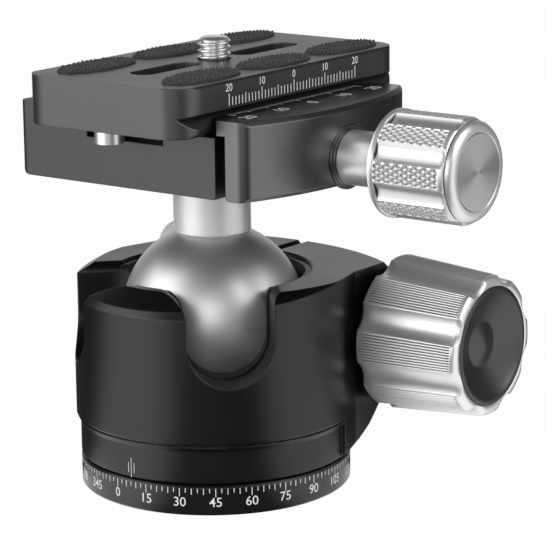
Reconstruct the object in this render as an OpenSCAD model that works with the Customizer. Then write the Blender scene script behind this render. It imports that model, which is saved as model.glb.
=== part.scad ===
/* [Base] */
// radius of the base disc and of the housing's lower band
base_r = 26.7; // [26.2:0.1:27]
// thickness of the base disc
base_h = 5.84; // [5.6:0.1:6.1]
// wall radius of the tripod thread
thread_r = 3.99; // [3.9:0.01:4.1]
// depth of the tripod thread
thread_depth = 9; // [8:0.5:9.5]
// radius of the pan spindle in the housing's floor
spindle_r = 8; // [7.5:0.1:8.4]

/* [Housing] */
// radius of the housing's wall
wall_r = 27.5; // [27.2:0.1:28]
// height of the housing's flat rim
body_top = 42.3; // [41.8:0.1:42.8]
// thickness of the housing's floor
floor_t = 3.46; // [3:0.1:3.6]
// width of a drop notch
notch_w = 16.8; // [16.6:0.1:17.4]
// angle of each drop notch from the front
notch_az = 45; // [42:1:48]
// rounding where a notch meets the rim on the side towards the lugs
notch_lip = 2.4; // [1.5:0.1:3]
// rounding where a notch meets the rim on the side towards the front
front_lip = 4.5; // [3:0.1:5.5]
// half the width across the two lugs
lug_x = 25.1; // [24.6:0.1:25.6]
// distance of the lugs' rear wall from the axis
lug_back = 32.5; // [32:0.1:34]
// width of the clamping slit
slit_w = 2.4; // [1.6:0.1:3]

/* [Ball] */
// radius of the ball
ball_r = 18; // [17.6:0.1:18.2]
// height of the ball's centre
ball_z = 33.45; // [33.2:0.05:33.7]
// radius of the stem
stem_r = 7.6; // [7:0.1:7.8]
// radial thickness of the seat liner
liner_t = 1.4; // [1.2:0.1:1.6]
// height of the ball cup
cup_h = 8.4; // [7.6:0.1:8.6]

/* [Main knob] */
// distance of the lock screw's axis behind the ball
knob_y = 25; // [24.6:0.1:25.4]
// height of the lock screw's axis
knob_z = 28.2; // [27.8:0.1:28.6]
// length of the main knob
knob_len = 21.9; // [20:0.1:23]
// radius of the main knob at the housing
knob_r_back = 15.4; // [14.8:0.1:15.6]
// radius of the main knob at its face
knob_r_front = 13.8; // [13.4:0.1:14.2]
// number of lands and of flutes on each large knob
flutes = 8; // [7:1:9]
// depth of the main knob's flutes
flute_d = 1.15; // [0.8:0.05:1.4]
// radius of the friction dial in the knob's face
dial_r = 11.7; // [11:0.1:12]
// radius of the lock screw
lock_screw_r = 3; // [2.5:0.1:3.2]

/* [Pan knob] */
// angle of the pan knob from the front
pan_az = 226; // [225:1:227]
// height of the pan screw's axis
pan_z = 37; // [36.8:0.1:37.2]
// radius of the pan knob
pan_r = 4.8; // [4.2:0.1:5]
// length of the pan knob's grip
pan_len = 9.7; // [8:0.1:11]

/* [Clamp] */
// length of the clamp
clamp_l = 52; // [50:0.5:54]
// height of the clamp's underside
clamp_z0 = 62.6; // [62.4:0.1:63]
// thickness of the clamp's bed
bed_h = 11.5; // [11.3:0.1:11.6]
// height of the jaws above the bed
jaw_h = 3.3; // [3.1:0.1:3.5]
// outer face of the fixed side
bed_x0 = -26.2; // [-27:0.1:-25.6]
// inner face of the bed beside the moving jaw
bed_x1 = 21.3; // [21:0.1:21.6]
// gap between the bed and the moving jaw
jaw_gap = 2.3; // [2:0.1:2.6]
// outermost point of the moving jaw
jaw_x1 = 33; // [32.6:0.1:33.4]
// radius of the clamp knob
ck_r = 10; // [9.4:0.1:10.4]
// length of the clamp knob without its sleeve
ck_len = 17.8; // [17:0.1:19]
// radius of the clamp knob's sleeve
sleeve_r = 5.2; // [5:0.1:5.6]

/* [Plate] */
// width of the camera plate
plate_w = 38.7; // [38.5:0.1:38.8]
// length of the camera plate
plate_l = 70.4; // [69:0.1:72]
// thickness of the camera plate
plate_h = 9.3; // [9:0.1:9.6]
// radius of the plate's corners
plate_corner = 6; // [5:0.5:7]
// width of the two slots in the camera plate
slot_w = 5.4; // [5:0.1:5.8]
// radius of the camera screw's thread
cam_r = 3.175; // [3.1:0.005:3.2]
// length of a grip pad
pad_l = 21.6; // [20:0.1:22]
// width of a grip pad
pad_w = 9.6; // [8:0.1:10]

/* [Fits] */
// radial clearance of a running fit
run_gap = 0.05; // [0.03:0.01:0.08]
// clearance between seated pieces
seat_gap = 0.02; // [0.01:0.01:0.04]
// clear air between pieces that move past each other
body_gap = 0.3; // [0.25:0.05:0.4]

/* [Hidden] */
$fn = 72;
eps = 0.01;
big = 120;

// floor and bearings of the pan axis
house_z0 = base_h + body_gap;
floor_z = house_z0 + floor_t;
flange_r = 13.4;
flange_t = 2;
hub_r = 9;
flange_z = base_h - flange_t;
insert_r = 6.2;
washer_in = hub_r;
washer_out = 15.5;
washer_t = 1;
nut_t = 2;
nut_r = 12.4;
up_washer_t = 0.8;
nut_z = floor_z + run_gap + up_washer_t + seat_gap;
spindle_top = nut_z + nut_t + 0.15;
base_screw_r = 1.2;
base_head_r = 2;
base_screw_at = hub_r + base_head_r + 0.5;
base_screw_n = 3;
rim_chamfer = 0.4;

// ball seat
bore_r = ball_r + liner_t;
seat_r = ball_r + run_gap;
cup_r = bore_r - 0.2;
cup_z = floor_z + 4.35;
cup_hole_r = 9;
disc_in = nut_r + 0.8;
disc_out = bore_r - 1.1;
disc_t = 0.95;
disc_rise = (cup_z - run_gap - floor_z - seat_gap - 2 * disc_t) / 2;
liner_z0 = cup_z + cup_h + body_gap;
liner_z1 = body_top - 0.6;
liner_flare_z = ball_z + 5.15;
liner_mouth_r = bore_r - 1.2;
notch_hw = notch_w / 2;
liner_notch_hw = notch_hw - body_gap;
notch_cz = ball_z - 0.15;
lip_ease = 0.06;

// outline of the housing
band_top = house_z0 + 6.46;
groove_z = band_top + 1;
groove_h = 0.4;
crest_c = 5.4;
crest_r = wall_r - 0.4;
crest_slope = 0.55;
crest_back = 8;
bevel_r = wall_r - 0.95;
bevel_z0 = body_top - 4;
bevel_z1 = body_top - 2.4;
bevel_az = 31;
tangent_az = 105;
tan_x = wall_r * sin(tangent_az);
tan_y = -wall_r * cos(tangent_az);
lug_y = tan_y + (lug_x - tan_x) / cos(tangent_az) * sin(tangent_az);
lug_cut = 2;
crown_c = -17;
crown_r = 47;
slit_z0 = groove_z + groove_h + 0.4;
slit_eye = slit_w * 0.75;

// lock screw, its nut and the main knob
lock_clear = 0.15;
lock_nut_af = 10;
lock_nut_t = 5;
lock_nut_x = -lug_x + 0.6;
lock_tip_x = lock_nut_x + 0.8;
ring_t = 1.9;
ring_r = 12.2;
ring_x = lug_x + run_gap;
knob_x = ring_x + ring_t + run_gap;
knob_taper = atan((knob_r_back - knob_r_front) / knob_len);
flute_cut = 4.8;
lock_in = 7.6;
face_edge = 1.3;
dial_t = 4.6;
dial_proud = 0.2;
dial_z0 = knob_len - dial_t;
dial_floor = dial_z0 - 1;
shaft_r = 2;
shaft_z0 = lock_in + 0.6;
grub_r = 1.5;
grub_z = 4;
grub_end = 9;
wave_t = 0.4;

// pan lock
pan_screw_r = 2.5;
rod_at = wall_r - 3.5;
rod_r = 1.8;
cone_tip_at = rod_at - 2;
cone_tip_r = 1.2;
cone_end_at = rod_at + 2.3;
pan_bore_at = rod_at - 3.1;
pan_hub_r = 3.2;
pan_hub_at = wall_r + 12.3;
pan_back_at = pan_hub_at + 1;
pan_end_at = pan_back_at + pan_len;
pan_washer_at = pan_hub_at - 0.9;
shoe_t = 1.6;
shoe_z = base_h + body_gap + 0.05;
rod_z0 = shoe_z + shoe_t;
rod_z1 = pan_z - pan_screw_r + 0.15;

// stem and clamp
bed_z = clamp_z0 + bed_h;
jaw_z = bed_z + jaw_h;
stem_z0 = ball_z + sqrt(ball_r * ball_r - stem_r * stem_r);
spigot_r = 4;
spigot_l = 9;
top_spigot_r = 5;
top_spigot_l = 2.3;
bolt_r = 3;
bolt_head_r = 5;
bolt_head_t = 3.4;
bolt_seat_z = bed_z - 5.6;
bolt_washer_t = 0.8;
bolt_tip_z = clamp_z0 - 9;
bolt_well_r = 6.6;
half_l = clamp_l / 2;
edge = 0.8;
corner = 1.8;
jaw_x0 = bed_x1 + jaw_gap;
jaw_arc = 66;
jaw_corner = 3;
jaw_corner_x = jaw_x1 - jaw_arc + sqrt(pow(jaw_arc - jaw_corner, 2) - pow(half_l - jaw_corner, 2));
jaw_corner_a = asin((half_l - jaw_corner) / (jaw_arc - jaw_corner));
screw_z = clamp_z0 + 5.2;
plate_x = 0.8;
plate_hw = plate_w / 2;
lip_in = plate_hw - 1.13;
lip_low = plate_hw + 1.15;
lip_low_z = jaw_z - (lip_low - lip_in);
recess_half = plate_hw - 10.15;
recess_l = 8;
recess_d = 2.6;
guide_r = 2;
guide_y = 17.5;
guide_x0 = 12;
guide_x1 = jaw_x0 + 4.6;
spring_y = 10.5;
spring_r = 2.3;
spring_wire = 0.5;
spring_x0 = bed_x1 - 6.2;
spring_x1 = jaw_x0 + 3;
pocket_r = 3;
jaw_screw_r = 3;
jaw_screw_x0 = 9.5;
jaw_hole_r = jaw_screw_r + 0.2;
spot_r = 6.2;
spot_x = jaw_x1 - 0.6;
jw_t = 0.8;
ck_sleeve_x = spot_x + jw_t + run_gap + seat_gap;
ck_x0 = 43.5;
ck_x1 = ck_x0 + ck_len;
ck_flange_t = 1.2;
ck_flange_r = ck_r + 0.2;
ck_cut = 3.15;
ck_cut_d = 0.9;
ck_step1 = 1.8;
ck_step2 = 1;
ck_cap_r = 7.1;
ck_cap_t = 0.9;
bush_r = 4.3;
bush_x1 = ck_x0 + 2;
jaw_screw_x1 = ck_x1 - 3.6;

// plate
plate_y = 1;
screw_y = 0.5;
head_r = 6.2;
plate_y0 = plate_y - plate_l / 2;
plate_y1 = plate_y + plate_l / 2;
plate_z0 = bed_z + body_gap;
plate_top = plate_z0 + plate_h;
side_z = plate_top - 5.1;
groove_in = plate_hw - 2.25;
groove_top_z = side_z - 0.5;
flare_hw = plate_hw - 0.05;
flare_z = groove_top_z - (flare_hw - groove_in);
flare_low_z = plate_z0 + 0.8;
web_z = plate_top - 4.3;
slots_y = [[plate_y0 + 10.8, screw_y - 6.2], [screw_y + 6, plate_y1 - 10.5]];
channel_hw = head_r + 1.2;
channel_y0 = plate_y0 + 5.7;
channel_y1 = plate_y1 - 5.4;
neck_r = cam_r - 0.475;
cam_bush_r = neck_r + 1.9;
cam_bush_top = plate_top - 1.2;
bush_flange_t = 0.65;
bush_flange_z = web_z - seat_gap - bush_flange_t;
head_t = 3.4;
head_z = bush_flange_z - run_gap - head_t;
coin_w = 1.4;
coin_d = 1.6;
pad_top = plate_top + 0.4;
pad_deep = 0.6;
thread_z0 = pad_top + 0.1;
thread_z1 = thread_z0 + 3.8;
thread_tip = 0.5;
pad_dx = plate_hw - 6.75;
pad_ys = [plate_y0 + 14.7, screw_y + 2.15, plate_y1 - 11.3];
stop_r = 2.8;
stop_h = 2.3;
stop_shank_r = 1.45;
stop_ys = [plate_y0 + 3, plate_y1 - 3];
stop_top = plate_z0 + 5.6;

// colours
black = [0.09, 0.09, 0.1];
satin = [0.2, 0.2, 0.22];
silver = [0.76, 0.76, 0.78];
steel = [0.55, 0.56, 0.58];
brass_c = [0.72, 0.58, 0.3];
rubber_c = [0.06, 0.06, 0.06];
nylon_c = [0.86, 0.86, 0.82];

// a ring about Z
module ring(r_out, r_in, z0, h) {
    difference() {
        translate([0, 0, z0]) cylinder(r = r_out, h = h);
        translate([0, 0, z0 - 1]) cylinder(r = r_in, h = h + 2);
    }
}

// places a piece drawn along Z so that it runs along +X
module along_x(x, y, z) {
    translate([x, y, z]) rotate([0, 90, 0]) children();
}

// places a piece drawn along Z so that it runs outward at the pan knob's angle
module along_pan(at) {
    rotate([0, 0, pan_az]) translate([0, -at, pan_z]) rotate([90, 0, 0]) children();
}

// a bar along +X
module bar_x(x0, x1, y, z, r) {
    along_x(x0, y, z) cylinder(r = r, h = x1 - x0);
}

// outline of one drop notch, seen from outside, whose mouth is rounded more towards the front;
// s is 1 for the right notch and -1 for the left one
module notch_outline(hw, s) {
    translate([0, notch_cz]) circle(r = hw);
    translate([-hw, notch_cz]) square([2 * hw, body_top - notch_cz + 1]);
    for (k = [[-s, front_lip], [s, notch_lip]]) difference() {
        translate([k[0] > 0 ? hw - eps : -hw - k[1], body_top - k[1]]) square([k[1] + eps, k[1] + 1]);
        translate([k[0] * (hw + k[1] - lip_ease), body_top - k[1] + lip_ease]) circle(r = k[1]);
    }
}

// both drop notches as a cutter
module notch_cut(hw) {
    for (s = [-1, 1])
        rotate([0, 0, s * notch_az]) translate([0, -ball_r * 0.55, 0]) rotate([90, 0, 0])
            linear_extrude(height = wall_r) notch_outline(hw, s);
}

// outline of a leaf-shaped grip pad
module leaf(l, w) {
    r = (l * l + w * w) / (4 * w);
    intersection() {
        translate([r - w / 2, 0]) circle(r = r);
        translate([w / 2 - r, 0]) circle(r = r);
    }
}

// rectangle with round corners
module round_rect(x0, y0, x1, y1, r) {
    translate([x0 + r, y0]) square([x1 - x0 - 2 * r, y1 - y0]);
    translate([x0, y0 + r]) square([x1 - x0, y1 - y0 - 2 * r]);
    for (x = [x0 + r, x1 - r]) for (y = [y0 + r, y1 - r]) translate([x, y]) circle(r = r);
}

// section drawn in X and Z and drawn out along Y
module along_y(y0, y1, pts) {
    translate([0, y1, 0]) rotate([90, 0, 0]) linear_extrude(height = y1 - y0) polygon(pts);
}

// coil spring along Z as a swept polyhedron
module coil(r, wire, len, turns, steps, sides) {
    n = turns * steps;
    pts = [for (i = [0:n]) for (j = [0:sides - 1])
        let (a = 360 * i / steps, b = 360 * j / sides, q = r + wire * cos(b))
        [q * cos(a), q * sin(a), wire + (len - 2 * wire) * i / n + wire * sin(b)]];
    skin = [for (i = [0:n - 1]) for (j = [0:sides - 1])
        [i * sides + j, i * sides + (j + 1) % sides, (i + 1) * sides + (j + 1) % sides, (i + 1) * sides + j]];
    end0 = [[for (j = [0:sides - 1]) sides - 1 - j]];
    end1 = [[for (j = [0:sides - 1]) n * sides + j]];
    polyhedron(points = pts, faces = concat(skin, end0, end1));
}

module base_disc() {
    color(satin) difference() {
        rotate_extrude() polygon([
            [0, 0], [base_r - rim_chamfer, 0], [base_r, rim_chamfer],
            [base_r, base_h - rim_chamfer], [base_r - rim_chamfer, base_h], [0, base_h]]);
        translate([0, 0, -1]) cylinder(r = hub_r + seat_gap, h = base_h + 2);
        translate([0, 0, flange_z]) cylinder(r = flange_r + seat_gap, h = base_h);
        ring(base_r - 6.2, base_r - 7.4, -1, 1.6);
        ring(base_r - 3.4, base_r - 4.6, -1, 1.6);
        for (i = [0:base_screw_n - 1]) rotate([0, 0, i * 360 / base_screw_n + 30])
            translate([base_screw_at, 0, -1]) {
                cylinder(r = base_screw_r + seat_gap, h = base_h + 2);
                cylinder(r = base_head_r + 0.1, h = 2.5);
            }
    }
}

module pan_spindle() {
    color(steel) difference() {
        union() {
            cylinder(r = hub_r, h = flange_z + eps);
            translate([0, 0, flange_z + seat_gap]) cylinder(r = flange_r, h = flange_t - seat_gap);
            translate([0, 0, flange_z]) cylinder(r = spindle_r, h = spindle_top - flange_z);
        }
        translate([0, 0, -1]) cylinder(r = insert_r + seat_gap, h = thread_depth + 1.1);
        for (i = [0:base_screw_n - 1]) rotate([0, 0, i * 360 / base_screw_n + 30])
            translate([base_screw_at, 0, flange_z - 1]) cylinder(r = base_screw_r + seat_gap, h = flange_t);
    }
}

module thread_insert() {
    color(steel) difference() {
        cylinder(r = insert_r, h = thread_depth);
        translate([0, 0, -1]) cylinder(r = thread_r, h = thread_depth + 2);
    }
}

module base_screws() {
    color(steel) for (i = [0:base_screw_n - 1]) rotate([0, 0, i * 360 / base_screw_n + 30])
        translate([base_screw_at, 0, 0]) difference() {
            union() {
                translate([0, 0, 0.2]) cylinder(r = base_head_r, h = 1.28);
                translate([0, 0, 1]) cylinder(r = base_screw_r, h = flange_z - 0.2);
            }
            translate([-base_head_r, -0.25, -1]) cube([2 * base_head_r, 0.5, 1.8]);
        }
}

module pan_washers() {
    color(nylon_c) {
        ring(washer_out, washer_in, base_h + seat_gap, body_gap + washer_t - run_gap - seat_gap);
        ring(nut_r, spindle_r + seat_gap, floor_z + run_gap, up_washer_t);
    }
}

module spindle_nut() {
    color(steel) difference() {
        ring(nut_r, spindle_r + seat_gap, nut_z, nut_t);
        for (a = [0, 90]) rotate([0, 0, a]) translate([-nut_r - 1, -1.5, nut_z + 0.9])
            cube([2 * nut_r + 2, 3, nut_t]);
    }
}

// solid outline of the housing: turned body with the two lugs at its back
module housing_outline() {
    rotate_extrude() polygon([
        [0, house_z0], [base_r - rim_chamfer, house_z0], [base_r, house_z0 + rim_chamfer],
        [base_r, band_top], [wall_r - 0.3, groove_z], [wall_r - 0.8, groove_z],
        [wall_r - 0.8, groove_z + groove_h], [wall_r - 0.2, groove_z + groove_h],
        [wall_r, groove_z + groove_h + 0.3], [wall_r, body_top], [0, body_top]]);
    intersection() {
        linear_extrude(height = body_top) polygon([
            [0, 0], [tan_x, tan_y], [lug_x, lug_y], [lug_x, lug_back - lug_cut],
            [lug_x - lug_cut, lug_back], [lug_cut - lug_x, lug_back], [-lug_x, lug_back - lug_cut],
            [-lug_x, lug_y], [-tan_x, tan_y]]);
        translate([0, crown_c, 0]) rotate_extrude() polygon([
            [0, 0], [crown_r + body_top, 0], [crown_r, body_top], [0, body_top]]);
        rotate_extrude() polygon([
            [0, house_z0], [base_r - 0.2, house_z0], [wall_r + 1.2, band_top - 4.4],
            [wall_r + 3.1, band_top - 2.1], [wall_r + 4.5, band_top + 0.2], [wall_r + 5.5, band_top + 2],
            [wall_r + 9, band_top + 6.4], [wall_r + 14.5, band_top + 10.4], [wall_r + 22.5, band_top + 13.4],
            [wall_r + 22.5, body_top + 1], [0, body_top + 1]]);
    }
}

module housing() {
    color(black) difference() {
        housing_outline();
        translate([0, 0, floor_z]) cylinder(r = bore_r + seat_gap, h = big);
        translate([0, 0, body_top - 0.4]) cylinder(r1 = bore_r + seat_gap, r2 = bore_r + 0.9, h = 0.8);
        translate([0, 0, 0]) cylinder(r = spindle_r + run_gap, h = big);
        translate([0, 0, 0]) cylinder(r = washer_out + body_gap, h = house_z0 + washer_t);
        notch_cut(notch_hw);
        intersection() {
            translate([0, crest_c, 0]) rotate_extrude() polygon([
                [crest_r - 1 / crest_slope, body_top + 1], [crest_r, body_top],
                [crest_r + 10, body_top - 10 * crest_slope], [crest_r + 10, body_top + 1]]);
            translate([-big / 2, crest_back - big, 0]) cube(big);
        }
        intersection() {
            rotate_extrude() polygon([
                [bevel_r, bevel_z1], [wall_r + 0.2, bevel_z0 - 0.35], [wall_r + 1, body_top + 1],
                [bevel_r, body_top + 1]]);
            translate([0, 0, bevel_z0 - 2]) linear_extrude(height = big)
                polygon([[0, 0], [-60 * sin(bevel_az), -60 * cos(bevel_az)],
                    [60 * sin(bevel_az), -60 * cos(bevel_az)]]);
        }
        translate([-slit_w / 2, bore_r - 2, slit_z0]) cube([slit_w, 40, big]);
        translate([0, lug_back + 5, slit_z0]) rotate([90, 0, 0]) cylinder(r = slit_eye, h = lug_back - bore_r + 7);
        bar_x(-lug_x - 1, lug_x + 1, knob_y, knob_z, lock_screw_r + lock_clear);
        along_x(-lug_x - 1, knob_y, knob_z) rotate([0, 0, 30])
            cylinder(r = lock_nut_af / sqrt(3) + seat_gap, h = lock_nut_x + lock_nut_t + lug_x + 1, $fn = 6);
        along_pan(pan_bore_at) cylinder(r = pan_screw_r + run_gap, h = 30);
        rotate([0, 0, pan_az]) translate([0, -rod_at, 0]) {
            cylinder(r = rod_r + run_gap, h = pan_z);
            cylinder(r = rod_r + 0.5, h = rod_z0 + 0.9);
        }
    }
}

module seat_liner() {
    color(rubber_c) difference() {
        translate([0, 0, liner_z0]) cylinder(r = bore_r, h = liner_z1 - liner_z0);
        translate([0, 0, ball_z]) sphere(r = seat_r);
        translate([0, 0, liner_flare_z])
            cylinder(r1 = sqrt(seat_r * seat_r - pow(liner_flare_z - ball_z, 2)),
                r2 = liner_mouth_r, h = liner_z1 - liner_flare_z + eps);
        notch_cut(liner_notch_hw);
        translate([-slit_w / 2, 0, liner_z0 - 1]) cube([slit_w, 40, big]);
    }
}

module ball_cup() {
    color(nylon_c) difference() {
        translate([0, 0, cup_z]) cylinder(r = cup_r, h = cup_h);
        translate([0, 0, ball_z]) sphere(r = seat_r);
        translate([0, 0, cup_z - 1]) cylinder(r = cup_hole_r, h = cup_h + 1);
    }
}

module cup_springs() {
    z = floor_z + seat_gap;
    color(steel) {
        rotate_extrude() polygon([
            [disc_in, z + disc_rise], [disc_out, z], [disc_out, z + disc_t],
            [disc_in, z + disc_rise + disc_t - seat_gap]]);
        rotate_extrude() polygon([
            [disc_in, z + disc_rise + disc_t], [disc_out, z + 2 * disc_rise + disc_t],
            [disc_out, z + 2 * disc_rise + 2 * disc_t], [disc_in, z + disc_rise + 2 * disc_t]]);
    }
}

module ball() {
    color(satin) difference() {
        translate([0, 0, ball_z]) sphere(r = ball_r);
        translate([-big / 2, -big / 2, stem_z0]) cube(big);
        translate([0, 0, stem_z0 - spigot_l - 0.5]) cylinder(r = spigot_r + run_gap, h = big);
    }
}

module stem() {
    color(silver) difference() {
        union() {
            translate([0, 0, stem_z0 + run_gap]) cylinder(r1 = stem_r - 0.5, r2 = stem_r, h = 0.5);
            translate([0, 0, stem_z0 + run_gap + 0.5])
                cylinder(r = stem_r, h = clamp_z0 - stem_z0 - run_gap - 0.5 - seat_gap);
            translate([0, 0, stem_z0 - spigot_l]) cylinder(r = spigot_r, h = spigot_l + 1);
            translate([0, 0, clamp_z0 - 1]) cylinder(r = top_spigot_r, h = top_spigot_l + 1);
        }
        translate([0, 0, bolt_tip_z - 0.6]) cylinder(r = bolt_r + seat_gap, h = big);
    }
}

module lock_nut() {
    color(steel) difference() {
        along_x(lock_nut_x, knob_y, knob_z) rotate([0, 0, 30])
            cylinder(r = lock_nut_af / sqrt(3), h = lock_nut_t - seat_gap, $fn = 6);
        bar_x(-lug_x - 1, lug_x, knob_y, knob_z, lock_screw_r + run_gap);
    }
}

module lock_screw() {
    color(steel) along_x(lock_tip_x, knob_y, knob_z) {
        translate([0, 0, 0.6]) cylinder(r = lock_screw_r, h = knob_x + lock_in - lock_tip_x - 0.6);
        cylinder(r1 = lock_screw_r - 0.6, r2 = lock_screw_r, h = 0.6);
    }
}

module lock_washer() {
    color(rubber_c) along_x(ring_x, knob_y, knob_z) difference() {
        rotate_extrude() polygon([
            [lock_screw_r + lock_clear, 0], [ring_r - 0.3, 0], [ring_r, 0.3], [ring_r, ring_t],
            [lock_screw_r + lock_clear, ring_t]]);
    }
}

// cuts the flutes of a turned knob that tapers from r0 to r1
module flute_cutters(r0, taper, cut, deep, len, first) {
    for (i = [0:flutes - 1]) rotate([0, 0, first + i * 360 / flutes])
        translate([r0 + cut - deep, 0, -1]) rotate([0, -taper, 0]) cylinder(r = cut, h = len + 3);
}

module main_knob() {
    color(silver) along_x(knob_x, knob_y, knob_z) difference() {
        rotate_extrude() polygon([
            [0, 0], [knob_r_back - 0.6, 0], [knob_r_back, 0.6], [knob_r_front, knob_len - 1.2],
            [knob_r_front - 0.5, knob_len - 0.4], [dial_r + 0.8, knob_len], [0, knob_len]]);
        flute_cutters(knob_r_back, knob_taper, flute_cut, flute_d, knob_len, 90 + 180 / flutes);
        translate([0, 0, dial_floor]) cylinder(r = dial_r + run_gap, h = big);
        translate([0, 0, shaft_z0 - 0.3]) cylinder(r = shaft_r + run_gap, h = big);
        translate([0, 0, -1]) cylinder(r = lock_screw_r + seat_gap, h = lock_in + 1 + seat_gap);
        rotate([0, 0, 90 + 180 / flutes]) translate([0, 0, grub_z]) rotate([0, 90, 0])
            cylinder(r = grub_r + seat_gap, h = big);
    }
}

module knob_grub_screw() {
    color(steel) along_x(knob_x, knob_y, knob_z) rotate([0, 0, 90 + 180 / flutes])
        translate([lock_screw_r + seat_gap, 0, grub_z]) rotate([0, 90, 0]) difference() {
            cylinder(r = grub_r, h = grub_end - lock_screw_r);
            translate([0, 0, grub_end - lock_screw_r - 1.4]) cylinder(r = 0.85, h = 3, $fn = 6);
        }
}

module friction_dial() {
    top = knob_len + dial_proud;
    color(rubber_c) along_x(knob_x, knob_y, knob_z) difference() {
        rotate_extrude() polygon([
            [0, dial_z0], [dial_r, dial_z0], [dial_r, top - 0.4], [dial_r - 0.4, top],
            [dial_r - 1.5, top], [dial_r - 2.7, top - 1.1], [5, top - 1.6], [4.3, top - 1.6],
            [3.7, top - 2.3], [0, top - 2.5]]);
        translate([0, 0, dial_z0 - 1]) cylinder(r = shaft_r + seat_gap, h = 2.2);
    }
}

module dial_shaft() {
    color(steel) along_x(knob_x, knob_y, knob_z)
        translate([0, 0, shaft_z0]) cylinder(r = shaft_r, h = dial_z0 + 1.15 - shaft_z0);
}

module dial_spring() {
    color(steel) along_x(knob_x, knob_y, knob_z) rotate_extrude() polygon([
        [shaft_r + 0.4, dial_floor + 0.55], [7.5, dial_floor + run_gap], [7.5, dial_floor + run_gap + wave_t],
        [shaft_r + 0.4, dial_floor + 0.55 + wave_t]]);
}

module pan_washer() {
    color(nylon_c) along_pan(pan_washer_at)
        difference() {
            cylinder(r = pan_hub_r, h = 0.8);
            translate([0, 0, -1]) cylinder(r = pan_screw_r + run_gap, h = 3);
        }
}

module pan_screw() {
    color(steel) along_pan(0) {
        translate([0, 0, cone_tip_at])
            cylinder(r1 = cone_tip_r, r2 = pan_screw_r, h = cone_end_at - cone_tip_at);
        translate([0, 0, cone_end_at]) cylinder(r = pan_screw_r, h = pan_back_at + 4 - cone_end_at);
    }
}

module pan_knob() {
    color(silver) along_pan(0) difference() {
        rotate_extrude() polygon([
            [0, pan_hub_at], [pan_hub_r, pan_hub_at], [pan_hub_r, pan_back_at],
            [pan_r - 0.4, pan_back_at], [pan_r, pan_back_at + 0.4], [pan_r, pan_back_at + 3],
            [pan_r - 0.4, pan_back_at + 3.2], [pan_r - 0.4, pan_back_at + 3.8], [pan_r, pan_back_at + 4],
            [pan_r, pan_end_at - 0.8], [pan_r - 0.8, pan_end_at], [0, pan_end_at]]);
        translate([0, 0, pan_hub_at - 1]) cylinder(r = pan_screw_r + seat_gap, h = pan_back_at + 5.03 - pan_hub_at);
        translate([0, 0, pan_end_at - 0.6]) cylinder(r = pan_r - 1.8, h = 2);
    }
}

module brake_rod() {
    color(steel) rotate([0, 0, pan_az]) translate([0, -rod_at, rod_z0 + seat_gap])
        cylinder(r = rod_r, h = rod_z1 - rod_z0 - 0.4);
}

module brake_shoe() {
    color(nylon_c) rotate([0, 0, pan_az]) translate([0, -rod_at, shoe_z])
        cylinder(r = rod_r + 0.2, h = shoe_t);
}

module clamp_bed() {
    color(black) difference() {
        intersection() {
            along_y(-half_l, half_l, [
                [bed_x0 + edge, clamp_z0], [bed_x1 - 0.4, clamp_z0], [bed_x1, clamp_z0 + 0.4], [bed_x1, bed_z],
                [plate_x - lip_low, bed_z], [plate_x - lip_low, lip_low_z], [plate_x - lip_in, jaw_z],
                [bed_x0 + edge, jaw_z], [bed_x0, jaw_z - edge], [bed_x0, clamp_z0 + edge]]);
            linear_extrude(height = big) round_rect(bed_x0, -half_l, bed_x1 + 20, half_l, corner);
        }
        for (s = [-1, 1]) translate([-recess_half, s > 0 ? half_l - recess_l : -half_l - 1, bed_z - recess_d])
            cube([2 * recess_half, recess_l + 1, big]);
        for (s = [-1, 1]) translate([plate_x - lip_low, s * half_l, bed_z])
            rotate([0, 0, -45 * s]) translate([-big, -1.8, eps]) cube([big + 2.2, 3.6, big]);
        translate([0, 0, bolt_seat_z]) cylinder(r = bolt_well_r, h = big);
        cylinder(r = bolt_r + 0.2, h = big);
        translate([0, 0, clamp_z0 - 1]) cylinder(r = top_spigot_r + seat_gap, h = top_spigot_l + 1.1);
        bar_x(jaw_screw_x0 - 0.2, bed_x1 + 1, 0, screw_z, jaw_screw_r + seat_gap);
        for (y = [-guide_y, guide_y]) bar_x(guide_x0 - 0.2, bed_x1 + 1, y, screw_z, guide_r + seat_gap);
        for (y = [-spring_y, spring_y]) bar_x(spring_x0 - 0.1, bed_x1 + 1, y, screw_z, pocket_r);
    }
}

module clamp_bolt() {
    z = bolt_seat_z + bolt_washer_t + 2 * seat_gap;
    color(steel) difference() {
        union() {
            translate([0, 0, z]) cylinder(r = bolt_head_r, h = bolt_head_t);
            translate([0, 0, bolt_tip_z]) cylinder(r = bolt_r, h = z - bolt_tip_z + 1);
        }
        translate([0, 0, z + bolt_head_t - 2]) cylinder(r = 2.9, h = 4, $fn = 6);
    }
}

module bolt_washer() {
    color(steel) ring(bolt_head_r + 0.9, bolt_r + 0.1, bolt_seat_z + seat_gap, bolt_washer_t);
}

module guide_pins() {
    color(steel) for (y = [-guide_y, guide_y]) bar_x(guide_x0, guide_x1, y, screw_z, guide_r);
}

module jaw_springs() {
    color(steel) for (y = [-spring_y, spring_y]) along_x(spring_x0, y, screw_z)
        coil(spring_r, spring_wire, spring_x1 - spring_x0 - 0.1, 6, 14, 6);
}

module jaw_screw() {
    color(steel) bar_x(jaw_screw_x0, jaw_screw_x1, 0, screw_z, jaw_screw_r);
}

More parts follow.
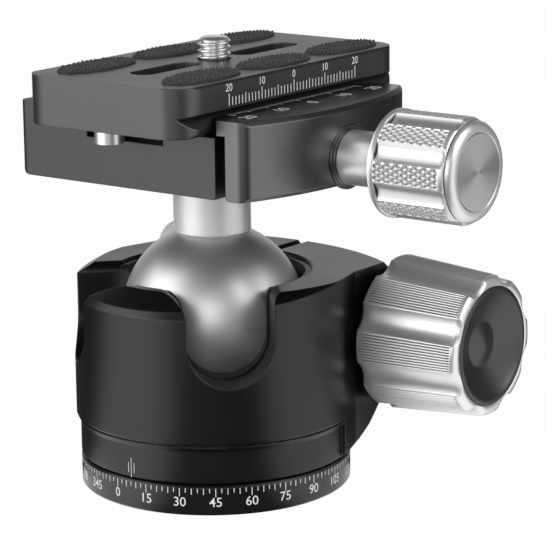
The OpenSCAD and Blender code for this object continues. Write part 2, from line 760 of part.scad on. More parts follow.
module moving_jaw() {
    color(black) difference() {
        intersection() {
            along_y(-half_l, half_l, [
                [jaw_x0, clamp_z0 + 0.4], [jaw_x0 + 0.4, clamp_z0], [jaw_x1 + 1, clamp_z0], [jaw_x1 + 1, jaw_z],
                [plate_x + lip_in, jaw_z], [plate_x + lip_low, lip_low_z], [plate_x + lip_low, bed_z + 0.5],
                [jaw_x0, bed_z + 0.5]]);
            linear_extrude(height = big) intersection() {
                translate([jaw_x1 - jaw_arc, 0]) circle(r = jaw_arc, $fn = 180);
                union() {
                    polygon([[plate_x + lip_in - eps, 3 - half_l], [plate_x + lip_low + 0.4, -half_l],
                        [jaw_corner_x, -half_l], [jaw_corner_x, half_l], [plate_x + lip_low + 0.4, half_l],
                        [plate_x + lip_in - eps, half_l - 3]]);
                    polygon([[jaw_corner_x, jaw_corner - half_l],
                        [jaw_corner_x + 20 * cos(jaw_corner_a), jaw_corner - half_l - 20 * sin(jaw_corner_a)],
                        [jaw_corner_x + 20 * cos(jaw_corner_a), half_l - jaw_corner + 20 * sin(jaw_corner_a)],
                        [jaw_corner_x, half_l - jaw_corner]]);
                    for (s = [-1, 1]) translate([jaw_corner_x, s * (half_l - jaw_corner)]) circle(r = jaw_corner);
                }
            }
            translate([jaw_x1 - jaw_arc, 0, 0]) rotate_extrude($fn = 180) polygon([
                [0, 0], [jaw_arc - edge, 0], [jaw_arc - edge, clamp_z0], [jaw_arc, clamp_z0 + edge],
                [jaw_arc, jaw_z - edge], [jaw_arc - edge, jaw_z], [0, jaw_z + 1]]);
        }
        bar_x(0, big, 0, screw_z, jaw_hole_r);
        bar_x(spot_x, big, 0, screw_z, spot_r);
        for (y = [-guide_y, guide_y]) bar_x(jaw_x0 - 1, guide_x1 + 0.2, y, screw_z, guide_r + run_gap);
        for (y = [-spring_y, spring_y]) bar_x(jaw_x0 - 1, spring_x1, y, screw_z, pocket_r);
    }
}

module jaw_washer() {
    color(steel) along_x(spot_x + seat_gap, 0, screw_z) difference() {
        cylinder(r = spot_r - 0.3, h = jw_t);
        translate([0, 0, -1]) cylinder(r = jaw_hole_r, h = 3);
    }
}

module clamp_knob() {
    s = ck_x0 - ck_sleeve_x;
    len = ck_x1 - ck_sleeve_x;
    color(silver) along_x(ck_sleeve_x, 0, screw_z) difference() {
        union() {
            rotate_extrude() polygon([
                [0, 0], [sleeve_r - 0.3, 0], [sleeve_r, 0.3], [sleeve_r, s], [ck_flange_r - 0.3, s],
                [ck_flange_r, s + 0.3], [ck_flange_r, s + ck_flange_t], [ck_r - 1.4, s + ck_flange_t + 0.2],
                [ck_r - 1.4, len - ck_step1], [0, len - ck_step1]]);
            difference() {
                translate([0, 0, s + ck_flange_t + 0.1]) cylinder(r = ck_r, h = len - s - ck_flange_t - 0.1 - ck_step1 - 0.3);
                translate([0, 0, s]) flute_cutters(ck_r, 0, ck_cut, ck_cut_d, len, 90 + 180 / flutes);
            }
            translate([0, 0, len - ck_step1 - 0.4]) cylinder(r1 = ck_r - 0.6, r2 = ck_r - 1.2, h = 0.6);
            translate([0, 0, len - ck_step1]) cylinder(r = ck_r - 1.2, h = ck_step1 - ck_step2);
            translate([0, 0, len - ck_step2 - 0.1]) cylinder(r1 = ck_r - 1.6, r2 = ck_r - 1.9, h = ck_step2 + 0.1);
        }
        translate([0, 0, -1]) cylinder(r = bush_r + seat_gap, h = bush_x1 - ck_sleeve_x + 1);
        translate([0, 0, -1]) cylinder(r = jaw_screw_r + run_gap, h = jaw_screw_x1 - ck_sleeve_x + 1.6);
        translate([0, 0, len - ck_cap_t]) cylinder(r = ck_cap_r + seat_gap, h = 5);
    }
}

module knob_bush() {
    color(brass_c) along_x(ck_sleeve_x, 0, screw_z) difference() {
        cylinder(r = bush_r, h = bush_x1 - ck_sleeve_x - seat_gap);
        translate([0, 0, -1]) cylinder(r = jaw_screw_r + run_gap, h = big);
    }
}

module knob_cap() {
    color(silver) along_x(ck_x1 - ck_cap_t + seat_gap, 0, screw_z)
        cylinder(r = ck_cap_r, h = ck_cap_t - seat_gap);
}

// section of the camera plate, half of it given and mirrored
module plate_section() {
    half = [[plate_hw, plate_top - 0.5], [plate_hw, side_z], [groove_in, groove_top_z],
        [flare_hw, flare_z], [flare_hw, flare_low_z], [flare_hw - 0.8, plate_z0]];
    left = [for (i = [len(half) - 1:-1:0]) [-half[i][0], half[i][1]]];
    translate([plate_x, 0]) polygon(concat([[plate_hw - 0.5, plate_top]], half, left,
        [[0.5 - plate_hw, plate_top]]));
}

module camera_plate() {
    color(black) difference() {
        intersection() {
            translate([0, plate_y1, 0]) rotate([90, 0, 0]) linear_extrude(height = plate_l) plate_section();
            linear_extrude(height = big)
                round_rect(plate_x - plate_hw, plate_y0, plate_x + plate_hw, plate_y1, plate_corner);
        }
        translate([plate_x, 0, plate_z0 - 1]) linear_extrude(height = web_z - plate_z0 + 1)
            round_rect(-channel_hw, channel_y0, channel_hw, channel_y1, channel_hw - eps);
        for (y = slots_y) linear_extrude(height = big)
            round_rect(plate_x - slot_w / 2, y[0], plate_x + slot_w / 2, y[1], slot_w / 2 - eps);
        translate([plate_x, screw_y, 0]) {
            cylinder(r = cam_bush_r + seat_gap, h = cam_bush_top + seat_gap);
            cylinder(r = cam_r + body_gap / 2, h = big);
        }
        for (s = [-1, 1]) for (y = pad_ys) translate([plate_x + s * pad_dx, y, plate_top - pad_deep])
            linear_extrude(height = 5) leaf(pad_l + 2 * seat_gap, pad_w + 2 * seat_gap);
        for (y = stop_ys) translate([plate_x, y, 0]) cylinder(r = stop_shank_r + seat_gap, h = stop_top + 0.2);
    }
}

module grip_pads() {
    color(rubber_c) for (s = [-1, 1]) for (y = pad_ys)
        translate([plate_x + s * pad_dx, y, plate_top - pad_deep + seat_gap])
            linear_extrude(height = pad_top - plate_top + pad_deep - seat_gap) leaf(pad_l, pad_w);
}

module stop_screws() {
    color(silver) for (y = stop_ys) translate([plate_x, y, 0]) difference() {
        union() {
            translate([0, 0, plate_z0 - seat_gap - stop_h]) cylinder(r = stop_r, h = stop_h);
            translate([0, 0, plate_z0 - 1]) cylinder(r = stop_shank_r, h = stop_top - plate_z0 + 1);
        }
        translate([0, 0, plate_z0 - stop_h - 1]) cylinder(r = stop_shank_r, h = 1 + stop_h / 2, $fn = 6);
    }
}

module screw_bush() {
    color(nylon_c) translate([plate_x, screw_y, 0]) difference() {
        union() {
            translate([0, 0, bush_flange_z]) cylinder(r = channel_hw - 0.6, h = bush_flange_t);
            translate([0, 0, bush_flange_z]) cylinder(r = cam_bush_r, h = cam_bush_top - bush_flange_z);
        }
        translate([0, 0, bush_flange_z - 1]) cylinder(r = neck_r + run_gap, h = big);
    }
}

module camera_screw() {
    color(silver) translate([plate_x, screw_y, 0]) difference() {
        union() {
            translate([0, 0, head_z]) cylinder(r = head_r, h = head_t);
            translate([0, 0, head_z + 1]) cylinder(r = neck_r, h = thread_z0 - head_z - 1 + eps);
            translate([0, 0, thread_z0]) cylinder(r = cam_r, h = thread_z1 - thread_z0 - thread_tip);
            translate([0, 0, thread_z1 - thread_tip - eps]) cylinder(r1 = cam_r, r2 = cam_r - 0.6, h = thread_tip + eps);
        }
        translate([-coin_w / 2, -head_r - 1, head_z - 1]) cube([coin_w, 2 * head_r + 2, coin_d + 1]);
    }
}

base_disc();
pan_spindle();
thread_insert();
base_screws();
pan_washers();
spindle_nut();
housing();
seat_liner();
cup_springs();
lock_nut();
ball_cup();
ball();
stem();
lock_washer();
lock_screw();
main_knob();
knob_grub_screw();
friction_dial();
dial_shaft();
dial_spring();
pan_washer();
pan_screw();
pan_knob();
brake_rod();
brake_shoe();
clamp_bed();
clamp_bolt();
bolt_washer();
guide_pins();
jaw_springs();
jaw_screw();
moving_jaw();
jaw_washer();
clamp_knob();
knob_bush();
knob_cap();
camera_plate();
grip_pads();
stop_screws();
screw_bush();
camera_screw();
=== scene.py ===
"""Looks of the tripod ball head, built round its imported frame."""

import logging
import math
from dataclasses import dataclass, replace
from enum import Enum
from typing import Callable, Iterable, Optional, Sequence

import bmesh
import bpy
import numpy as np
from mathutils import Matrix, Vector


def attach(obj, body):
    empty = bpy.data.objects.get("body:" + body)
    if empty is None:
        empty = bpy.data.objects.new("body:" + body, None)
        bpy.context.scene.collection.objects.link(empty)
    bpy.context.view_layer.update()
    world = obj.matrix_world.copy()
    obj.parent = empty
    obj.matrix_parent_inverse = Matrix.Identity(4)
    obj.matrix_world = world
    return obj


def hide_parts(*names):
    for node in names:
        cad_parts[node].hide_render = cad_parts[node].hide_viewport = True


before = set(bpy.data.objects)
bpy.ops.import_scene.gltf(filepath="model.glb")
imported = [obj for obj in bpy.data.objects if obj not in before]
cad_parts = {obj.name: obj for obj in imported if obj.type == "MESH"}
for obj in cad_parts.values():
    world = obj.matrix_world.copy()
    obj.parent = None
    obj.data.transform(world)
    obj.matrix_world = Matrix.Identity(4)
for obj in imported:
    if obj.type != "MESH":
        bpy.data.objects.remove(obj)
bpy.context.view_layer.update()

LOG = logging.getLogger("ball_head")
MM = 0.001
FULL_TURN = 2.0 * math.pi
MERGE_DISTANCE = 2e-7
SMOOTH_BELOW = 35.0

Point = tuple[float, float, float]
Colour = tuple[float, float, float]
InSocket = tuple[str, str, object]
OutSocket = tuple[str, str]
RadiusAt = Callable[[tuple, np.ndarray], np.ndarray]

BALL_CENTRE: Point = (0.0, 0.0, 33.45)
MAIN_KNOB_AXIS: Point = (0.0, 25.0, 28.2)
CLAMP_KNOB_AXIS: Point = (0.0, 0.0, 67.8)

SHADER_TREE, GEOMETRY_TREE = "ShaderNodeTree", "GeometryNodeTree"
FLOAT, INTEGER, VECTOR = "NodeSocketFloat", "NodeSocketInt", "NodeSocketVector"
MATERIAL, GEOMETRY = "NodeSocketMaterial", "NodeSocketGeometry"


class Axis(Enum):
    """Directions that turned pieces lie along."""

    X = (1.0, 0.0, 0.0)
    Z = (0.0, 0.0, 1.0)


def direction(azimuth: float, elevation: float = 0.0) -> Vector:
    """Unit vector from the object to where these angles point.

    Args:
        azimuth: Degrees round the object, from -Y towards +X.
        elevation: Degrees above the level.

    Returns:
        The vector.
    """
    a, e = math.radians(azimuth), math.radians(elevation)
    return Vector((math.sin(a) * math.cos(e), -math.cos(a) * math.cos(e), math.sin(e)))


# ---------------------------------------------------------------- node trees


class Nodes:
    """Adds nodes to one tree."""

    def __init__(self, tree: bpy.types.NodeTree) -> None:
        """Takes the tree."""
        self.tree = tree

    def add(self, kind: str, values: Optional[dict] = None, **props: object) -> bpy.types.Node:
        """Adds a node and fills its sockets.

        Args:
            kind: The node's type name.
            values: Socket index or name to a value or an output socket.
            props: Properties of the node.

        Returns:
            The new node.
        """
        node = self.tree.nodes.new(kind)
        for key, value in props.items():
            setattr(node, key, value)
        for key, value in (values or {}).items():
            if isinstance(value, bpy.types.NodeSocket):
                self.link(value, node.inputs[key])
            else:
                node.inputs[key].default_value = value
        return node

    def link(self, source: bpy.types.NodeSocket, target: bpy.types.NodeSocket) -> None:
        """Links an output to an input."""
        self.tree.links.new(source, target)

    def place(self) -> bpy.types.NodeSocket:
        """Gives the Object coordinates."""
        return self.add("ShaderNodeTexCoord").outputs["Object"]

    def math(self, operation: str, a: object, b: object = 0.0, clamp: bool = False) -> bpy.types.NodeSocket:
        """Adds a Math node and gives its output."""
        return self.add("ShaderNodeMath", {0: a, 1: b}, operation=operation, use_clamp=clamp).outputs[0]

    def vector(self, operation: str, a: object, b: object = None) -> bpy.types.NodeSocket:
        """Adds a Vector Math node.

        Args:
            operation: The node's operation.
            a: First vector.
            b: Second vector, or the factor for SCALE; none for operations with one vector.

        Returns:
            The result, which is a number for DOT_PRODUCT and LENGTH.
        """
        values = {0: a}
        if b is not None:
            values["Scale" if operation == "SCALE" else 1] = b
        node = self.add("ShaderNodeVectorMath", values, operation=operation)
        return node.outputs["Value" if operation in ("DOT_PRODUCT", "LENGTH") else "Vector"]

    def combine(self, x: object = 0.0, y: object = 0.0, z: object = 0.0) -> bpy.types.NodeSocket:
        """Makes a vector of three numbers."""
        return self.add("ShaderNodeCombineXYZ", {0: x, 1: y, 2: z}).outputs[0]

    def noise(self, place: object, scale: object, detail: float) -> bpy.types.NodeSocket:
        """Adds a Noise Texture and gives its height."""
        return self.add("ShaderNodeTexNoise", {"Vector": place, "Scale": scale, "Detail": detail}).outputs[0]

    def ramp(
        self, value: object, start: float, end: float, low: float = 0.0, high: float = 1.0, **props: object
    ) -> bpy.types.NodeSocket:
        """Takes a value from one range to another.

        Args:
            value: The value.
            start: Where the result is low.
            end: Where the result is high.
            low: Result at the start.
            high: Result at the end.
            props: Properties of the Map Range node.

        Returns:
            The result.
        """
        values = {0: value, 1: start, 2: end, 3: low, 4: high}
        return self.add("ShaderNodeMapRange", values, **props).outputs[0]

    def blend(self, share: object, first: object, second: object) -> bpy.types.NodeSocket:
        """Mixes two colours."""
        return self.add("ShaderNodeMix", {0: share, 6: first, 7: second}, data_type="RGBA").outputs[2]

    def blend_shaders(self, share: object, first: bpy.types.Node, second: bpy.types.Node) -> bpy.types.Node:
        """Mixes two shaders."""
        return self.add("ShaderNodeMixShader", {0: share, 1: first.outputs[0], 2: second.outputs[0]})


class Group(Nodes):
    """A node group under construction, with named inputs and outputs."""

    def __init__(
        self, name: str, kind: str, inputs: Sequence[InSocket], outputs: Sequence[OutSocket]
    ) -> None:
        """Starts the group.

        Args:
            name: The group's name.
            kind: The tree's type name.
            inputs: Name, type and default of each input.
            outputs: Name and type of each output.
        """
        super().__init__(bpy.data.node_groups.new(name, kind))
        for label, socket_kind, default in inputs:
            socket = self.tree.interface.new_socket(label, in_out="INPUT", socket_type=socket_kind)
            if default is not None:
                socket.default_value = default
        for label, socket_kind in outputs:
            self.tree.interface.new_socket(label, in_out="OUTPUT", socket_type=socket_kind)
        self.inp = self.tree.nodes.new("NodeGroupInput").outputs
        self.out = self.tree.nodes.new("NodeGroupOutput").inputs


# ---------------------------------------------------------------- shader groups


def build_grain_group() -> bpy.types.NodeTree:
    """Blasted and anodised grain: two sizes of noise.

    Returns:
        The group, with a height and a slow mottle as outputs.
    """
    inputs = [("Scale", FLOAT, 9000.0), ("Mottle Scale", FLOAT, 60.0)]
    g = Group("blasted_grain", SHADER_TREE, inputs, [("Height", FLOAT), ("Mottle", FLOAT)])
    place = g.place()
    g.link(g.noise(place, g.inp["Scale"], 1.5), g.out["Height"])
    g.link(g.noise(place, g.inp["Mottle Scale"], 4.0), g.out["Mottle"])
    return g.tree


def build_turning_group() -> bpy.types.NodeTree:
    """Fine tool lines round an axis: noise drawn out round the piece.

    Returns:
        The group, with the lines' height as its output.
    """
    inputs = [
        ("Centre", VECTOR, (0.0, 0.0, 0.0)), ("Axis", VECTOR, Axis.Z.value),
        ("Along", FLOAT, 9000.0), ("Across", FLOAT, 9000.0),
    ]
    g = Group("tool_lines", SHADER_TREE, inputs, [("Height", FLOAT)])
    away = g.vector("SUBTRACT", g.place(), g.inp["Centre"])
    along = g.vector("DOT_PRODUCT", away, g.inp["Axis"])
    radius = g.vector("LENGTH", g.vector("CROSS_PRODUCT", away, g.inp["Axis"]))
    u = g.math("MULTIPLY", along, g.inp["Along"])
    v = g.math("MULTIPLY", radius, g.inp["Across"])
    g.link(g.noise(g.combine(u, v), 1.0, 3.0), g.out["Height"])
    return g.tree


def build_edge_group() -> bpy.types.NodeTree:
    """Rounded-edge normal and a mask of lighter edges: wear, and a painted highlight along rounded edges.

    Returns:
        The group, with the soft normal and the mask of wear and painted edge highlight as outputs.
    """
    inputs = [("Radius", FLOAT, 0.0003), ("Amount", FLOAT, 0.5)]
    g = Group("worn_and_highlit_edges", SHADER_TREE, inputs, [("Normal", VECTOR), ("Wear And Highlight", FLOAT)])
    soft = g.add("ShaderNodeBevel", {"Radius": g.inp["Radius"]}, samples=4).outputs[0]
    true = g.add("ShaderNodeNewGeometry").outputs["Normal"]
    plain, full_edge = 0.98, 0.8
    edge = g.ramp(g.vector("DOT_PRODUCT", soft, true), plain, full_edge)
    patch_scale, patch_low, patch_high, least_edge_share = 420.0, 0.42, 0.72, 0.15
    broken = g.ramp(g.noise(g.place(), patch_scale, 5.0), patch_low, patch_high, least_edge_share)
    worn_and_lit = g.math("MULTIPLY", edge, broken)
    g.link(soft, g.out["Normal"])
    g.link(g.math("MULTIPLY", worn_and_lit, g.inp["Amount"], clamp=True), g.out["Wear And Highlight"])
    return g.tree


def build_cavity_group() -> bpy.types.NodeTree:
    """Painted shade at the bottoms of grooves, found from the mesh's own hollows.

    Returns:
        The group, with the mask of the painted groove shade as its output.
    """
    g = Group("groove_shade", SHADER_TREE, [("Amount", FLOAT, 0.0)], [("Cavity", FLOAT)])
    form = g.add("ShaderNodeNewGeometry").outputs["Pointiness"]
    level_form, groove_form = 0.499, 0.455
    hollow = g.ramp(form, level_form, groove_form)
    g.link(g.math("MULTIPLY", hollow, g.inp["Amount"], clamp=True), g.out["Cavity"])
    return g.tree


def build_dust_group() -> bpy.types.NodeTree:
    """Sparse specks of dust, in patches.

    Returns:
        The group, with a dust mask as its output.
    """
    g = Group("dust_specks", SHADER_TREE, [("Amount", FLOAT, 0.1)], [("Dust", FLOAT)])
    place = g.place()
    speck_scale, speck_edge, speck_middle = 900.0, 0.10, 0.04
    speck = g.add("ShaderNodeTexVoronoi", {"Vector": place, "Scale": speck_scale})
    dot = g.ramp(speck.outputs["Distance"], speck_edge, speck_middle)
    patch_scale, patch_low, patch_high = 130.0, 0.5, 0.75
    where = g.ramp(g.noise(place, patch_scale, 3.0), patch_low, patch_high)
    both = g.math("MULTIPLY", dot, where)
    g.link(g.math("MULTIPLY", both, g.inp["Amount"], clamp=True), g.out["Dust"])
    return g.tree


# ---------------------------------------------------------------- finishes


@dataclass(frozen=True)
class Finish:
    """One surface finish and the values of its material; sizes are in millimetres."""

    name: str
    slot: str
    colour: Colour
    metallic: float
    roughness: float
    spread: float
    tint: float
    grain: float
    grain_scale: float
    # Edge lightening: wear, and a painted highlight along rounded edges.
    wear: float = 0.0
    wear_colour: Colour = (0.35, 0.35, 0.36)
    bevel: float = 0.25
    lines: float = 0.0
    axis: Axis = Axis.Z
    centre: Point = (0.0, 0.0, 0.0)
    line_density: float = 9000.0
    anisotropy: float = 0.0
    dust: float = 0.08
    # Amount of painted shade at the bottoms of grooves.
    cavity: float = 0.0


@dataclass
class FinishShop:
    """Builds each finish's material once."""

    dust_colour: Colour = (0.45, 0.44, 0.42)
    groove_colour: Colour = (0.03, 0.03, 0.03)
    relief_height: float = 0.04
    mottle_low: float = 0.3
    mottle_high: float = 0.7

    def __post_init__(self) -> None:
        """Builds the shared node groups."""
        self.grain = build_grain_group()
        self.turning = build_turning_group()
        self.edges = build_edge_group()
        self.dust = build_dust_group()
        self.cavity = build_cavity_group()
        self.made: dict[str, bpy.types.Material] = {}

    def material(self, f: Finish) -> bpy.types.Material:
        """Gives the material of a finish.

        Args:
            f: The finish.

        Returns:
            Its material.
        """
        if f.name not in self.made:
            self.made[f.name] = self.build(f)
        return self.made[f.name]

    def build(self, f: Finish) -> bpy.types.Material:
        """Builds the material of a finish.

        Args:
            f: The finish.

        Returns:
            Its material.
        """
        mat = bpy.data.materials.new(f.name)
        mat.use_nodes = True
        mat.diffuse_color = (*f.colour, 1.0)
        nodes = Nodes(mat.node_tree)
        nodes.tree.nodes.clear()
        grain = nodes.add("ShaderNodeGroup", {"Scale": f.grain_scale}, node_tree=self.grain)
        edges = nodes.add("ShaderNodeGroup", {"Radius": f.bevel * MM, "Amount": f.wear}, node_tree=self.edges)
        mottle = grain.outputs["Mottle"]
        colour = self.colour(nodes, f, mottle, edges.outputs["Wear And Highlight"])
        rough_low, rough_high = f.roughness - f.spread, f.roughness + f.spread
        rough = nodes.ramp(mottle, self.mottle_low, self.mottle_high, rough_low, rough_high)
        height, strength = self.relief(nodes, f, grain.outputs["Height"])
        bump = nodes.add("ShaderNodeBump", {
            "Height": height, "Strength": min(strength, 1.0), "Distance": self.relief_height * MM,
            "Normal": edges.outputs["Normal"],
        })
        shade = nodes.add("ShaderNodeBsdfPrincipled", {
            "Base Color": colour, "Roughness": rough, "Metallic": f.metallic, "Normal": bump.outputs[0],
            "Anisotropic": f.anisotropy,
        })
        if f.anisotropy > 0.0:
            away = nodes.vector("SUBTRACT", nodes.place(), [c * MM for c in f.centre])
            nodes.link(nodes.vector("CROSS_PRODUCT", f.axis.value, away), shade.inputs["Tangent"])
        out = nodes.add("ShaderNodeOutputMaterial", {"Surface": shade.outputs[0]})
        out.is_active_output = True
        return mat

    def colour(
        self, nodes: Nodes, f: Finish, mottle: bpy.types.NodeSocket, wear: bpy.types.NodeSocket
    ) -> bpy.types.NodeSocket:
        """Builds the colour: mottled, lighter at the edges as wear and painted highlight, dusty, and darkened
        in the grooves as painted shade.

        Args:
            nodes: The material's nodes.
            f: The finish.
            mottle: Slow mottle over the surface.
            wear: Mask of the edges lightened as wear and as painted highlight.

        Returns:
            The colour.
        """
        dust = nodes.add("ShaderNodeGroup", {"Amount": f.dust}, node_tree=self.dust)
        dark = tuple(c * (1.0 - f.tint) for c in f.colour)
        light = tuple(min(1.0, c * (1.0 + f.tint)) for c in f.colour)
        clean = nodes.blend(mottle, (*dark, 1.0), (*light, 1.0))
        # Painted highlight and wear: the edges are lightened towards the edge colour.
        worn_and_lit = nodes.blend(wear, clean, (*f.wear_colour, 1.0))
        colour = nodes.blend(dust.outputs["Dust"], worn_and_lit, (*self.dust_colour, 1.0))
        # Painted shade: groove bottoms darkened towards the groove colour.
        if f.cavity > 0.0:
            hollow = nodes.add("ShaderNodeGroup", {"Amount": f.cavity}, node_tree=self.cavity)
            colour = nodes.blend(hollow.outputs["Cavity"], colour, (*self.groove_colour, 1.0))
        return colour

    def relief(
        self, nodes: Nodes, f: Finish, grain: bpy.types.NodeSocket
    ) -> tuple[bpy.types.NodeSocket, float]:
        """Builds the height of the grain and of the tool lines.

        Args:
            nodes: The material's nodes.
            f: The finish.
            grain: Height of the grain.

        Returns:
            The height and its strength.
        """
        if f.lines <= 0.0:
            return grain, f.grain
        turning = nodes.add("ShaderNodeGroup", {
            "Centre": [c * MM for c in f.centre], "Axis": f.axis.value,
            "Along": f.line_density, "Across": f.line_density,
        }, node_tree=self.turning)
        strength = f.lines + f.grain
        mixed = nodes.add("ShaderNodeMix", {0: f.lines / strength, 2: grain, 3: turning.outputs["Height"]})
        return mixed.outputs[0], strength


CLAMP_BLACK = Finish(
    "clamp_black", "body_black", (0.079, 0.079, 0.082), metallic=0.93, roughness=0.36, spread=0.02, tint=0.06,
    grain=0.06, grain_scale=7000.0, wear=0.12, wear_colour=(0.3, 0.3, 0.31), bevel=0.35,
)
JAW_BLACK = replace(
    CLAMP_BLACK, name="jaw_black", colour=(0.155, 0.155, 0.158), metallic=0.97, roughness=0.30,
)
PLATE_BLACK = replace(
    CLAMP_BLACK, name="plate_black", colour=(0.11, 0.11, 0.113), metallic=0.92, roughness=0.38,
)
# The housing's stronger edge lightening is a painted highlight along its rounded rims.
BODY_BLACK = replace(
    CLAMP_BLACK, name="housing_black", colour=(0.044, 0.044, 0.046), metallic=0.92, roughness=0.32,
    grain=0.05, wear=0.25, bevel=0.4,
)
BASE_BLACK = replace(
    BODY_BLACK, name="base_black", slot="base_black", colour=(0.058, 0.058, 0.060), roughness=0.30,
    grain=0.04, wear=0.4, wear_colour=(0.38, 0.38, 0.39), bevel=0.2, lines=0.04,
)
BALL_GREY = Finish(
    "ball_grey", "ball_grey", (0.72, 0.72, 0.725), metallic=0.84, roughness=0.41, spread=0.015, tint=0.03,
    grain=0.05, grain_scale=6000.0, bevel=0.2, lines=0.03, centre=BALL_CENTRE,
)
STEM_SATIN = Finish(
    "stem_satin", "stem_silver", (0.9, 0.9, 0.91), metallic=0.4, roughness=0.38, spread=0.02, tint=0.02,
    grain=0.06, grain_scale=5000.0, bevel=0.2, lines=0.05,
)
PAN_SATIN = Finish(
    "pan_knob_satin", "knob_silver", (0.86, 0.86, 0.87), metallic=0.5, roughness=0.36, spread=0.02, tint=0.02,
    grain=0.05, grain_scale=6000.0, bevel=0.12,
)
SCREW_BRIGHT = replace(
    PAN_SATIN, name="screw_bright", slot="stem_silver", colour=(0.84, 0.84, 0.85), metallic=0.9,
    roughness=0.30, grain=0.02, bevel=0.01,
)
KNOB_SATIN = replace(
    PAN_SATIN, name="knob_satin", metallic=0.78, roughness=0.35, grain=0.04, bevel=0.02, lines=0.02,
    axis=Axis.X, centre=MAIN_KNOB_AXIS, cavity=1.0,
)
CLAMP_KNOB_SATIN = replace(
    KNOB_SATIN, name="clamp_knob_satin", colour=(0.80, 0.80, 0.81), metallic=0.74, grain=0.03, lines=0.03,
    centre=CLAMP_KNOB_AXIS, cavity=0.95,
)
SPUN_FACE = replace(
    CLAMP_KNOB_SATIN, name="spun_face", colour=(0.74, 0.74, 0.75), metallic=0.95, roughness=0.30, grain=0.02,
    bevel=0.05, lines=0.25, line_density=14000.0, anisotropy=0.85, cavity=0.0,
)
STEEL = Finish(
    "turned_steel", "steel", (0.62, 0.62, 0.64), metallic=1.0, roughness=0.28, spread=0.04, tint=0.04,
    grain=0.05, grain_scale=6000.0, wear=0.1, wear_colour=(0.7, 0.7, 0.7), bevel=0.12, lines=0.06,
)
SPRING_STEEL = Finish(
    "spring_steel", "spring_steel", (0.42, 0.43, 0.45), metallic=1.0, roughness=0.34, spread=0.05, tint=0.06,
    grain=0.05, grain_scale=6000.0, bevel=0.05,
)
BRASS = replace(
    SPRING_STEEL, name="turned_brass", slot="brass", colour=(0.70, 0.53, 0.26), roughness=0.30, bevel=0.1,
    lines=0.08, axis=Axis.X,
)
NYLON = Finish(
    "bearing_nylon", "nylon", (0.78, 0.78, 0.74), metallic=0.0, roughness=0.55, spread=0.05, tint=0.03,
    grain=0.10, grain_scale=3000.0, bevel=0.15,
)
LINER = Finish(
    "liner_black", "liner", (0.010, 0.010, 0.010), metallic=0.0, roughness=0.40, spread=0.04, tint=0.10,
    grain=0.08, grain_scale=5000.0, wear=0.2, wear_colour=(0.08, 0.08, 0.08), bevel=0.2,
)
RING_BLACK = replace(
    LINER, name="ring_black", slot="ring_black", colour=(0.009, 0.009, 0.010), roughness=0.45, grain=0.10,
    wear_colour=(0.07, 0.07, 0.07),
)
DIAL_RUBBER = Finish(
    "dial_rubber", "dial_rubber", (0.085, 0.085, 0.087), metallic=0.82, roughness=0.36, spread=0.03,
    tint=0.10, grain=0.10, grain_scale=4500.0, wear=0.1, wear_colour=(0.12, 0.12, 0.12), bevel=0.2,
)
PAD_RUBBER = Finish(
    "pad_rubber", "pad_rubber", (0.042, 0.042, 0.043), metallic=0.0, roughness=0.5, spread=0.04, tint=0.15,
    grain=0.15, grain_scale=4000.0, wear=0.2, wear_colour=(0.12, 0.12, 0.12), bevel=0.06,
)
MARK_WHITE = Finish(
    "mark_white", "nylon", (0.88, 0.88, 0.88), metallic=0.0, roughness=0.6, spread=0.03, tint=0.05,
    grain=0.05, grain_scale=9000.0, bevel=0.02, dust=0.0,
)


# ---------------------------------------------------------------- mesh helpers


def new_object(name: str, data: bpy.types.ID) -> bpy.types.Object:
    """Makes an object and puts it in the scene.

    Args:
        name: The object's name.
        data: Its mesh, curve, lamp or camera.

    Returns:
        The object.
    """
    obj = bpy.data.objects.new(name, data)
    bpy.context.scene.collection.objects.link(obj)
    return obj


def finished_mesh(obj: bpy.types.Object) -> bpy.types.Mesh:
    """Gives an object's mesh as its modifiers or its curve leave it."""
    bpy.context.view_layer.update()
    return bpy.data.meshes.new_from_object(obj.evaluated_get(bpy.context.evaluated_depsgraph_get()))


def to_mesh_object(
    name: str, verts: np.ndarray, faces: Iterable[Sequence[int]], smooth_below: float = SMOOTH_BELOW
) -> bpy.types.Object:
    """Makes an object from points in millimetres.

    Args:
        name: The object's name.
        verts: Points, one per row, in millimetres.
        faces: Corner lists.
        smooth_below: Edges sharper than this many degrees stay sharp.

    Returns:
        The object, at the origin.
    """
    mesh = bpy.data.meshes.new(name)
    mesh.from_pydata((np.asarray(verts, float) * MM).tolist(), [], [list(f) for f in faces])
    obj = new_object(name, mesh)
    tidy_mesh(obj, smooth_below)
    return obj


def tidy_mesh(obj: bpy.types.Object, smooth_below: float = SMOOTH_BELOW) -> None:
    """Merges doubles, turns the faces outward and sets smooth and sharp edges.

    Args:
        obj: The object.
        smooth_below: Edges sharper than this many degrees stay sharp.
    """
    bm = bmesh.new()
    bm.from_mesh(obj.data)
    bmesh.ops.remove_doubles(bm, verts=bm.verts, dist=MERGE_DISTANCE)
    bmesh.ops.recalc_face_normals(bm, faces=bm.faces)
    limit = math.radians(smooth_below)
    for face in bm.faces:
        face.smooth = True
    for edge in bm.edges:
        edge.smooth = edge.calc_face_angle(FULL_TURN) < limit
    bm.to_mesh(obj.data)
    bm.free()


